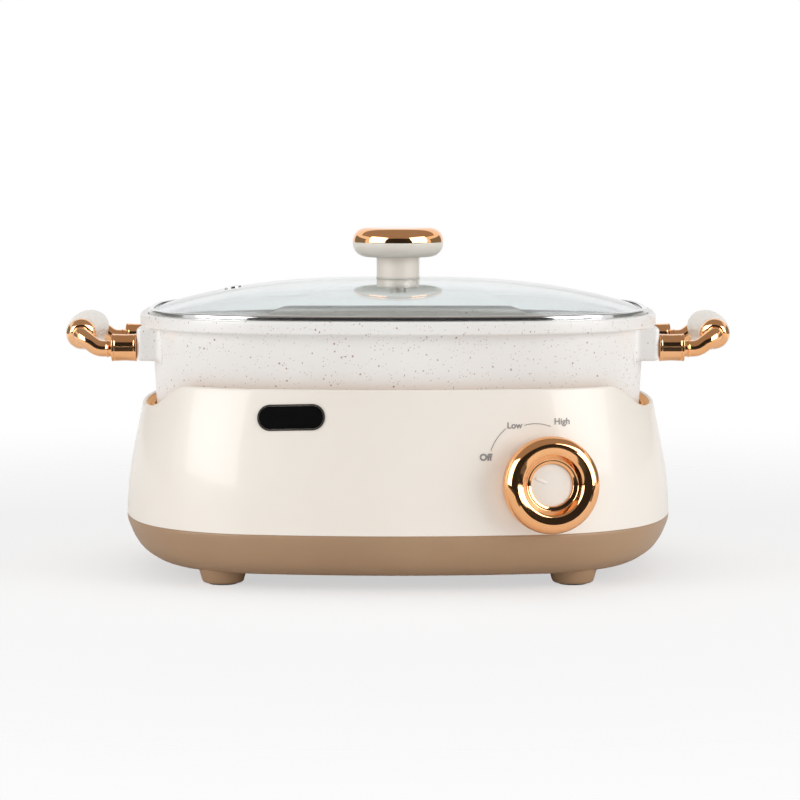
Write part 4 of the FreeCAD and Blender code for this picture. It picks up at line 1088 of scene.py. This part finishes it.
@dataclass
class Handles(Piece):
    """Ferrules, curved arms with rounded collars, and the barrel grips."""

    arm_y: float = 49.0
    arm_z: float = 139.4
    arm_radius: float = 4.9
    arm_start: float = 172.0
    rise_x: float = 183.0
    bends: tuple[float, float] = (9.5, 7.6)
    pitch: float = 0.25
    bead: Triple = (0.45, 5.1, 0.55)
    collar_radius: float = 9.3
    collar_length: float = 6.2
    tuck: tuple[float, float] = (0.5, 1.4)
    ferrule_x: tuple[float, float] = (159.2, 174.5)
    ferrule_z: float = 140.1
    ferrule_half: tuple[float, float] = (8.4, 7.75)
    ferrule_round: float = 6.9
    ferrule_edge: float = 0.6
    waist: float = 0.45
    groove: Triple = (0.22, 1.9, 0.28)
    grip: tuple[float, float] = (194.2, 147.8)
    grip_half: float = 37.0
    grip_radii: tuple[float, float] = (9.6, 11.7)
    grip_edge: float = 1.2

    def ferrule(self, side: float, end: float) -> np.ndarray:
        """Waisted sleeve: each section shrinks by the waist times the sine of its share.

        A small round closes both ends. The groove's depth, distance from the end and width give
        a shallow hollow near each of them, of the form exp(-t^2).

        Args:
            side: -1 at the left, 1 at the right.
            end: -1 at the front, 1 at the rear.

        Returns:
            Points of shape (rows, points, 3), in millimetres.
        """
        share = np.concatenate([np.linspace(0.0, 0.05, 7), np.linspace(0.06, 0.94, 60),
                                np.linspace(0.95, 1.0, 7)])
        length = self.ferrule_x[1] - self.ferrule_x[0]
        edge = np.minimum(share, 1.0 - share) * length
        past = np.maximum(self.ferrule_edge - edge, 0.0)
        corner = self.ferrule_edge - np.sqrt(np.maximum(self.ferrule_edge**2 - past**2, 0.0))
        depth, place, width = self.groove
        groove = depth * np.exp(-((edge - place) / width) ** 2)
        less = self.waist * np.sin(math.pi * share) + corner + groove
        height, width = self.ferrule_half
        sections = np.stack([rounded_box(height - cut, width - cut, self.ferrule_round - cut)
                             for cut in less])
        start, stop = (np.array((side * x, end * self.arm_y, self.ferrule_z))
                       for x in self.ferrule_x)
        return capped_bar(start, stop, share, sections)

    def arm(self, side: float, end: float) -> np.ndarray:
        """Arm: a round bar along a rounded path, with a bead at the ferrule and a bell collar.

        The bell's radius grows with the square root of 1 - (1 - t)^2, as a quarter circle does,
        and tucks in by its depth over its length at the end. The bead's height, distance from the
        start and width give a ring of the form exp(-t^2).

        Args:
            side: -1 at the left, 1 at the right.
            end: -1 at the front, 1 at the rear.

        Returns:
            Points of shape (rows, points, 3), in millimetres.
        """
        grip_x, grip_z = self.grip
        corners = np.array([(self.arm_start, self.arm_y, self.arm_z),
                            (self.rise_x, self.arm_y, self.arm_z),
                            (grip_x, self.arm_y, grip_z), (grip_x, self.grip_half + 0.1, grip_z)])
        path = smooth_path(corners, self.bends, self.pitch) * np.array((side, end, 1.0))
        step = np.linalg.norm(np.diff(path, axis=0), axis=1)
        from_start = np.concatenate([(0.0,), np.cumsum(step)])
        to_end = from_start[-1] - from_start
        share = np.clip(1.0 - to_end / self.collar_length, 0.0, 1.0)
        radius = self.arm_radius + (self.collar_radius - self.arm_radius) * np.sqrt(
            1.0 - (1.0 - share) ** 2)
        depth, length = self.tuck
        radius -= depth * np.clip(1.0 - to_end / length, 0.0, 1.0) ** 2
        height, place, width = self.bead
        radius += height * np.exp(-((from_start - place) / width) ** 2)
        return round_tube(path, radius, 72)

    def barrel(self, side: float) -> np.ndarray:
        """Grip: a barrel whose radius falls with the square of the distance from its middle.

        Args:
            side: -1 at the left, 1 at the right.

        Returns:
            Points of shape (rows, points, 3), in millimetres.
        """
        turn = np.linspace(0.0, math.pi / 2.0, 8)
        round_off = self.grip_edge * (1.0 - np.cos(turn))
        reach = self.grip_half - 1.6
        across = np.concatenate([-self.grip_half + round_off, np.linspace(-reach, reach, 80),
                                 self.grip_half - round_off[::-1]])
        ends, middle = self.grip_radii
        radius = middle - (middle - ends) * (across / self.grip_half) ** 2
        edge = self.grip_edge * (1.0 - np.sin(turn))
        radius[:8] -= edge
        radius[-8:] -= edge[::-1]
        theta = ring_angles(96)
        sections = radius[:, None, None] * np.stack([np.cos(theta), np.sin(theta)], axis=-1)
        grip_x, grip_z = self.grip
        start = np.array((side * grip_x, -self.grip_half, grip_z))
        stop = np.array((side * grip_x, self.grip_half, grip_z))
        return capped_bar(start, stop, (across + self.grip_half) / (2.0 * self.grip_half),
                          sections)

    def build(self) -> None:
        """All handle pieces, each over its own node."""
        for side_name, side in SIDES.items():
            self.skin(f"{side_name}_grip_skin", [self.barrel(side)], "cream_plastic", "pot",
                      f"{side_name}_grip")
            for end_name, end in ENDS.items():
                corner = f"{end_name}_{side_name}"
                self.skin(f"{corner}_ferrule_skin", [self.ferrule(side, end)], "rose_gold", "pot",
                          f"{corner}_ferrule", sharp=40.0)
                self.skin(f"{corner}_arm_skin", [self.arm(side, end)], "rose_gold", "pot",
                          f"{corner}_arm", sharp=60.0)


def smooth_path(corners: np.ndarray, radii: tuple[float, ...], pitch: float) -> np.ndarray:
    """Evenly spaced points along straight runs joined by arcs.

    Args:
        corners: Corner points, one row each.
        radii: Radius of the arc at each inner corner.
        pitch: Distance between neighbouring points.

    Returns:
        Points of the path, one row each.
    """
    parts = [corners[:1]]
    for before, corner, after, radius in zip(corners, corners[1:], corners[2:], radii):
        back, ahead = before - corner, after - corner
        back, ahead = back / np.linalg.norm(back), ahead / np.linalg.norm(ahead)
        half = math.acos(float(np.clip(back @ ahead, -1.0, 1.0))) / 2.0
        middle = (back + ahead) / np.linalg.norm(back + ahead)
        centre = corner + middle * radius / math.sin(half)
        angle = np.linspace(-1.0, 1.0, 33) * (math.pi / 2.0 - half)
        side = (ahead - back) / np.linalg.norm(ahead - back)
        parts.append(centre + radius * (side * np.sin(angle)[:, None]
                                        - middle * np.cos(angle)[:, None]))
    parts.append(corners[-1:])
    rough = np.concatenate(parts)
    reach = np.concatenate([(0.0,), np.cumsum(np.linalg.norm(np.diff(rough, axis=0), axis=1))])
    even = np.linspace(0.0, reach[-1], int(reach[-1] / pitch) + 1)
    return np.stack([np.interp(even, reach, rough[:, index]) for index in range(3)], axis=-1)


VENT_SEAT = placement((-104.0, 14.0, 173.4), (-0.1686, 0.0006, 0.9857), (0.9857, 0.0, 0.1686))


@dataclass
class Lid(Piece):
    """Glass dome, its folded steel rim and the steam vent's eyelet."""

    edge_inset: float = 5.9
    glass_base: float = 158.6
    glass_thickness: float = 3.8
    apex: float = 180.0
    power: float = 2.7
    foot_inset: float = 3.8
    lower_inset: float = 1.1
    rim_inset: float = 5.2
    rim_z: tuple[float, float] = (157.9, 163.2)
    rim_lip: float = 3.2
    rim_fold: float = 4.4
    steel: float = 0.6

    def glass(self) -> np.ndarray:
        """Dome: the edge outline scaled by a share s lies at base + rise (1 - s^power).

        Returns:
            Points of shape (rows, columns, 3), in millimetres.
        """
        foot = FLANGE.inset(self.edge_inset + self.foot_inset)
        ring = oval_rings(foot, np.array([(0.0, 0.0)]))[0]
        share = np.sin(np.linspace(0.0, math.pi / 2.0, 70))
        top = self.glass_base + self.glass_thickness
        rise = self.apex - top
        upper = shrunk(ring, share[::-1])
        upper[..., 2] = (top + rise * (1.0 - share[::-1] ** self.power))[:, None]
        within = oval_rings(foot.inset(self.lower_inset), np.array([(0.0, 0.0)]))[0]
        lower = shrunk(within, share)
        lower[..., 2] = (self.glass_base + rise * (1.0 - share**self.power))[:, None]
        edge = oval_rings(FLANGE.inset(self.edge_inset), rounded_profile([
            (self.foot_inset, self.glass_base), (0.05, self.glass_base, 0.8),
            (0.05, top, 0.8), (self.foot_inset - 0.1, top)], 6))
        return np.concatenate([lower, edge, upper])

    def rim(self) -> np.ndarray:
        """Folded band, as a closed loop of offsets and heights.

        Returns:
            Points of shape (rows, columns, 3), in millimetres.
        """
        low, high = self.rim_z
        wide, thick = self.rim_lip, self.steel
        loop = rounded_profile([
            (self.rim_fold, low), (0.0, low, 0.5), (0.0, high, 1.3), (wide, high, 0.25),
            (wide, high - thick, 0.2), (thick, high - thick, 0.6), (thick, low + thick, 0.3),
            (self.rim_fold, low + thick)], 8)
        return oval_rings(FLANGE.inset(self.rim_inset), loop)

    def vent(self) -> np.ndarray:
        """Turned eyelet: a thin flange on the glass, a shank through it and a lip below.

        Returns:
            Points of shape (rows, columns, 3), in millimetres.
        """
        profile = rounded_profile([
            (2.0, -5.2), (5.0, -5.2, 0.2), (5.0, -4.3, 0.2), (3.4, -4.3), (3.4, 0.0), (5.4, 0.0),
            (5.4, 0.6, 0.3), (2.0, 0.6, 0.3)], 6)
        return moved(lathe(profile, 96), VENT_SEAT)

    def build(self) -> None:
        """Glass, rim and vent over their nodes."""
        self.skin("lid_glass_skin", [self.glass()], "clear_glass", "lid", "lid_glass", sharp=60.0)
        self.skin("lid_rim_skin", [self.rim()], "lid_steel", "lid", "lid_rim", close_rows=True,
                  sharp=60.0)
        self.skin("steam_vent_skin", [self.vent()], "lid_steel", "lid", "steam_vent",
                  close_rows=True, sharp=50.0)


@dataclass
class ProbeSpring(Piece):
    """Coil spring under the temperature probe, which shortens as the probe is pressed; the coil is
    drawn at its full length.
    """

    radius: float = 7.5
    wire: float = 0.8
    span: tuple[float, float] = (44.4, 54.8)
    turns: int = 4
    travel: float = 3.0

    def coil(self) -> np.ndarray:
        """Tube round a helix whose height grows evenly with the angle.

        Returns:
            Points of shape (rings, points, 3), in millimetres.
        """
        low, high = self.span
        angle = np.linspace(0.0, TURN * self.turns, 64 * self.turns + 1)
        height = np.linspace(low + self.wire, high - self.wire, len(angle))
        path = np.stack([self.radius * np.cos(angle), self.radius * np.sin(angle), height],
                        axis=-1)
        return round_tube(path, np.full(len(path), self.wire), 16)

    def build(self) -> None:
        """Coil over the spring's node, with a mesh of its own."""
        spring = self.skin("probe_spring_skin", [self.coil()], "steel", "base", "probe_spring",
                           sharp=60.0)
        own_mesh(spring)


KNOB_SEAT = placement((88.0, -122.6329, 64.6), (0.185189, -0.978536, 0.090399),
                      (0.982703, 0.184404, -0.017036))


@dataclass
class DialKnob(Piece):
    """Plated ring with a funnel, and a cream disc with a pale pointer."""

    disc_radius: float = 12.55
    face: float = 10.4
    pointer_half: tuple[float, float] = (4.2, 0.9)
    pointer_height: float = 0.7
    pointer_place: float = 6.8
    pointer_turn: float = -23.0

    def ring(self) -> np.ndarray:
        """Turned section: rounded flank, broad crest, funnel and a small bead round the disc.

        Returns:
            Points of shape (rows, columns, 3), in millimetres from the seat.
        """
        profile = rounded_profile([
            (25.4, 2.0), (26.6, 1.8, 0.5), (28.7, 6.0, 6.0), (28.7, 16.1, 6.6),
            (22.9, 16.95, 9.0), (18.2, 16.3, 2.6), (15.3, 12.6, 1.2), (14.1, 12.5, 0.5),
            (12.6, 12.1, 0.5), (12.6, 8.0)], 14)
        return lathe(profile, 192)

    def disc(self) -> np.ndarray:
        """Disc with a softened edge, from its underside to the middle of its face.

        Returns:
            Points of shape (rows, columns, 3), in millimetres from the seat.
        """
        profile = rounded_profile([
            (0.0, self.face - 2.3), (self.disc_radius, self.face - 2.3),
            (self.disc_radius, self.face, 0.4), (0.0, self.face - 0.15)], 6)
        return lathe(profile, 128)

    def pointer(self) -> np.ndarray:
        """Low pill on the disc, from near its edge towards the middle.

        Its outline shrinks by a quarter as it rises, so that its edge is round.

        Returns:
            Points of shape (rows, points, 3), in millimetres from the seat.
        """
        turn = np.linspace(0.0, math.pi / 2.0, 5)
        length, width = self.pointer_half
        outline = rounded_box(length, width, width - 0.01, 10)
        rows = outline * (1.0 - 0.25 * (1.0 - np.cos(turn)))[:, None, None]
        height = self.face - 0.1 + self.pointer_height * np.sin(turn)
        grid = np.concatenate([rows, height[:, None, None] + 0.0 * rows[..., :1]], axis=-1)
        grid = np.concatenate([grid, grid[-1:] * np.array((0.0, 0.0, 1.0))])
        grid[..., 0] -= self.pointer_place
        return grid

    def build(self) -> None:
        """Ring, disc and pointer on the knob's own seat."""
        seat = KNOB_SEAT @ Matrix.Rotation(math.radians(self.pointer_turn), 4, "Z")
        self.skin("knob_ring_skin", [moved(self.ring(), seat)], "rose_gold", "control_knob",
                  "knob_ring", sharp=60.0)
        self.skin("knob_disc_skin", [moved(self.disc(), seat)], "cream_plastic", "control_knob",
                  "knob_disc")
        self.skin("knob_pointer", [moved(self.pointer(), seat)], "cream_plastic", "control_knob")


@dataclass
class DialMarks(Piece):
    """Printed scale round the dial: three words and two arcs, laid on the curved front."""

    words: tuple[tuple[str, float, float, float, float], ...] = (
        ("Off", 51.5, 81.0, 5.3, 0.26), ("Low", 68.6, 99.3, 5.1, 0.12),
        ("High", 96.8, 101.2, 5.1, 0.12))
    centre: tuple[float, float] = (80.8, 76.0)
    arcs: tuple[Triple, ...] = ((27.7, 161.8, 128.0), (24.3, 106.4, 66.5))
    line: float = 0.42
    proud: float = 0.12

    def lay(self, x: np.ndarray, height: np.ndarray) -> np.ndarray:
        """Points on the front of the housing, moved forwards a little.

        Args:
            x: Distances to the right, in millimetres.
            height: Heights, of the same shape.

        Returns:
            Points along a new last axis.
        """
        points = HOUSING.front_point(x, height)
        points[..., 1] -= self.proud
        return points

    def word(self, text: str, x: float, height: float, size: float, weight: float) -> None:
        """One word as a mesh that follows the front.

        Args:
            text: The word.
            x: Its middle, in millimetres.
            height: The middle of its letters.
            size: Letter size.
            weight: How far the strokes are thickened.
        """
        curve = bpy.data.curves.new(f"word_{text.lower()}", "FONT")
        curve.body, curve.size, curve.offset = text, size, weight
        curve.align_x, curve.align_y = "CENTER", "CENTER"
        holder = bpy.data.objects.new(curve.name, curve)
        bpy.context.scene.collection.objects.link(holder)
        flat = bpy.data.meshes.new_from_object(
            holder.evaluated_get(bpy.context.evaluated_depsgraph_get()))
        bpy.data.objects.remove(holder)
        points = np.zeros(len(flat.vertices) * 3)
        flat.vertices.foreach_get("co", points)
        points = points.reshape(-1, 3)
        laid = self.lay(x + points[:, 0], height + points[:, 1]) * MM
        flat.vertices.foreach_set("co", laid.ravel())
        flat.name = f"mark_{text.lower()}"
        made = bpy.data.objects.new(flat.name, flat)
        bpy.context.scene.collection.objects.link(made)
        self.add(made, "ink", "base")

    def arc(self, index: int, middle: float, start: float, end: float) -> None:
        """One arc of the scale, tapered at both ends.

        Args:
            index: Number of the arc, for its name.
            middle: Radius of the line's middle, in millimetres.
            start: First angle, in degrees.
            end: Last angle, in degrees.
        """
        angle = np.radians(np.linspace(start, end, 48))
        share = np.linspace(0.0, 1.0, 48)
        half = 0.5 * self.line * np.minimum(1.0, 12.0 * np.minimum(share, 1.0 - share) + 0.2)
        radius = middle + np.array((-1.0, 1.0))[:, None] * half
        x = self.centre[0] + radius * np.cos(angle)
        height = self.centre[1] + radius * np.sin(angle)
        self.skin(f"mark_arc_{index}", [self.lay(x, height)], "ink", "base", close_columns=False)

    def build(self) -> None:
        """All words and arcs."""
        for word in self.words:
            self.word(*word)
        for index, arc in enumerate(self.arcs):
            self.arc(index, *arc)


# ------------------------------------------------------------------ studio and camera
@dataclass(frozen=True)
class Panel:
    """Rectangle of the studio, in metres, that faces a target and isn't seen by the camera."""

    name: str
    place: Triple
    width: float
    height: float
    strength: float
    target: Triple = (0.0, 0.0, 0.09)

    def aim(self, made: Object, front: str) -> None:
        """Put an object at the place and turn it to the target.

        Args:
            made: The object.
            front: Axis of the object that faces the target, such as -Z.
        """
        made.location = self.place
        way = Vector(self.target) - Vector(self.place)
        made.rotation_euler = way.to_track_quat(front, "Y").to_euler()
        made.visible_camera = False


@dataclass(frozen=True)
class Lamp(Panel):
    """One soft lamp aimed at the object; its strength is in watts."""

    def build(self) -> None:
        """Make the lamp, out of reach of reflections."""
        data = bpy.data.lights.new(self.name, "AREA")
        data.shape, data.size, data.size_y = "RECTANGLE", self.width, self.height
        data.energy = self.strength
        made = bpy.data.objects.new(self.name, data)
        self.aim(made, "-Z")
        made.visible_glossy = False
        bpy.context.scene.collection.objects.link(made)


@dataclass(frozen=True)
class Card(Panel):
    """Studio card that only reflections show: dark, or glowing like the face of a softbox."""

    tone: Triple = (1.0, 1.0, 1.0)

    def face(self) -> Material:
        """Slightly uneven dark cloth with an even glow.

        Returns:
            The material.
        """
        paint = Paint(self.name)
        paint.set(Roughness=0.9, Emission_Color=self.tone, Emission_Strength=self.strength)
        clouds = paint.group(Group.CLOUDS, Scale=2.0)
        paint.feed("Base Color", paint.blend(clouds, (0.004, 0.004, 0.004), (0.008, 0.008, 0.008)))
        return paint.material

    def build(self) -> None:
        """Make the card, facing its target."""
        unit = np.array([[(-0.5, -0.5, 0.0), (0.5, -0.5, 0.0)],
                         [(-0.5, 0.5, 0.0), (0.5, 0.5, 0.0)]])
        grid = unit * np.array((self.width, self.height, 1.0)) / MM
        made = mesh_object(self.name, [grid], close_columns=False)
        made.data.materials.append(self.face())
        self.aim(made, "Z")
        made.visible_diffuse = False
        made.visible_shadow = False


@dataclass
class Studio:
    """Pale floor, white surroundings, soft lamps, cards for reflections, and the camera."""

    lamps: tuple[Lamp, ...] = (
        Lamp("left_softbox", (-1.62, -1.05, 0.62), 1.0, 1.2, 13.8),
        Lamp("right_softbox", (1.74, -1.0, 0.62), 1.0, 1.2, 16.0),
        Lamp("top_softbox", (0.0, 0.1, 1.7), 1.8, 1.4, 6.5),
        Lamp("front_fill", (0.0, -2.3, 0.2), 2.2, 0.4, 1.0),
    )
    cards: tuple[Card, ...] = (
        Card("front_card", (0.0, -2.8, 1.5), 6.4, 3.4, 0.015),
        Card("left_card", (-2.8, -2.0, 1.2), 2.0, 2.8, 0.015),
        Card("right_card", (2.9, -2.0, 1.2), 2.0, 2.8, 0.015),
        Card("floor_card", (0.0, -1.75, 0.004), 5.6, 2.1, 0.015, (0.0, -1.75, 1.0)),
        Card("left_glow", (-1.46, -1.02, 0.8), 1.56, 1.4, 5.0),
        Card("right_glow", (1.52, -0.95, 0.8), 1.5, 1.4, 5.0),
        Card("ceiling", (0.0, -0.35, 1.75), 5.0, 3.9, 0.33, (0.0, -0.35, 0.0), (1.0, 0.87, 0.76)),
        Card("left_flag", (-1.7, 0.9, 0.42), 1.9, 0.8, 0.22, (0.0, 0.0, 0.16), (0.93, 1.0, 0.9)),
        Card("right_flag", (1.7, 0.9, 0.42), 1.9, 0.8, 0.22, (0.0, 0.0, 0.16), (0.93, 1.0, 0.9)),
    )
    ambient: float = 0.43
    mirrored: float = 1.0
    floor_near: float = 0.28
    floor_far: float = 0.95
    floor_cover: float = 0.42
    floor_z: float = -0.02
    camera_place: Triple = (0.001247, -1.87875, 0.27558)
    pitch: float = 5.236
    lens: float = 135.286

    def floor(self) -> None:
        """Round white floor that fades outwards and, to the camera, covers the white in part."""
        radius = np.concatenate([np.linspace(0.0, 1.0, 12), np.linspace(1.3, 9.0, 24)]) / MM
        profile = np.stack([radius[::-1], np.full_like(radius, self.floor_z)], axis=-1)
        made = mesh_object("floor", [lathe(profile, 96)])
        paint = Paint("studio_floor")
        paint.set(Roughness=0.9, Specular_IOR_Level=0.0)
        clouds = paint.group(Group.CLOUDS, Scale=3.0, Low=0.2, High=0.8)
        paint.feed("Base Color", paint.blend(clouds, (0.985, 0.985, 0.985), (0.99, 0.99, 0.99)))
        away = paint.tree.nodes.new("ShaderNodeVectorMath")
        away.operation = "LENGTH"
        paint.tree.links.new(paint.position, away.inputs[0])
        fade = ramp(paint.tree, away.outputs["Value"], self.floor_far, self.floor_near)
        path = paint.tree.nodes.new("ShaderNodeLightPath")
        cover = paint.span(path.outputs["Is Camera Ray"], 1.0, self.floor_cover)
        paint.feed("Alpha", math_node(paint.tree, "MULTIPLY", fade, cover))
        made.data.materials.append(paint.material)

    def world(self) -> None:
        """White surroundings to the camera and through glass; softer light for all else."""
        world = bpy.data.worlds.new("studio")
        bpy.context.scene.world = world
        world.use_nodes = True
        tree = world.node_tree
        tree.nodes.clear()
        path = tree.nodes.new("ShaderNodeLightPath")
        seen = math_node(tree, "MAXIMUM", path.outputs["Is Camera Ray"],
                         path.outputs["Is Transmission Ray"])
        glossy = math_node(tree, "MULTIPLY", path.outputs["Is Glossy Ray"],
                           self.mirrored - self.ambient)
        soft = math_node(tree, "ADD", glossy, self.ambient)
        level = math_node(tree, "MAXIMUM", seen, soft)
        background = tree.nodes.new("ShaderNodeBackground")
        tree.links.new(level, background.inputs["Color"])
        output = tree.nodes.new("ShaderNodeOutputWorld")
        tree.links.new(background.outputs[0], output.inputs["Surface"])

    def camera(self) -> None:
        """Camera at the front, tilted down a little, made the scene's camera."""
        data = bpy.data.cameras.new("camera")
        data.lens, data.sensor_width = self.lens, 36.0
        data.clip_start, data.clip_end = 0.05, 60.0
        made = bpy.data.objects.new("camera", data)
        made.location = self.camera_place
        made.rotation_euler = (math.radians(90.0 - self.pitch), 0.0, 0.0)
        bpy.context.scene.collection.objects.link(made)
        bpy.context.scene.camera = made

    def build(self) -> None:
        """Everything round the object."""
        bpy.context.scene.view_settings.view_transform = "Standard"
        self.floor()
        self.world()
        for lamp in self.lamps:
            lamp.build()
        for card in self.cards:
            card.build()
        self.camera()


# ------------------------------------------------------------------ the whole scene
def dress_nodes(materials: dict[str, Material]) -> None:
    """Give every node of the construction model the finish of its slot.

    Args:
        materials: The materials by slot.
    """
    for part in frame["record"]["subparts"]:
        node = frame["nodes"][part["node"]]
        node.data.materials.clear()
        node.data.materials.append(materials[part["material_slot"]])


def corners(pair: tuple[Vector, Vector]) -> list[list[float]]:
    """A pair of corners as plain numbers."""
    return [[float(value) for value in corner] for corner in pair]


def main() -> None:
    """Build the scene."""
    logging.basicConfig(level=logging.INFO, format="%(name)s %(message)s")
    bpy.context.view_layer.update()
    materials = finishes()
    dress_nodes(materials)
    for kind in (Housing, LowerShell, DialMarks, DialKnob, PotShell, Handles, Lid, ProbeSpring):
        kind(materials).build()
    Studio().build()
    bpy.context.view_layer.update()


if __name__ == "__main__":
    main()
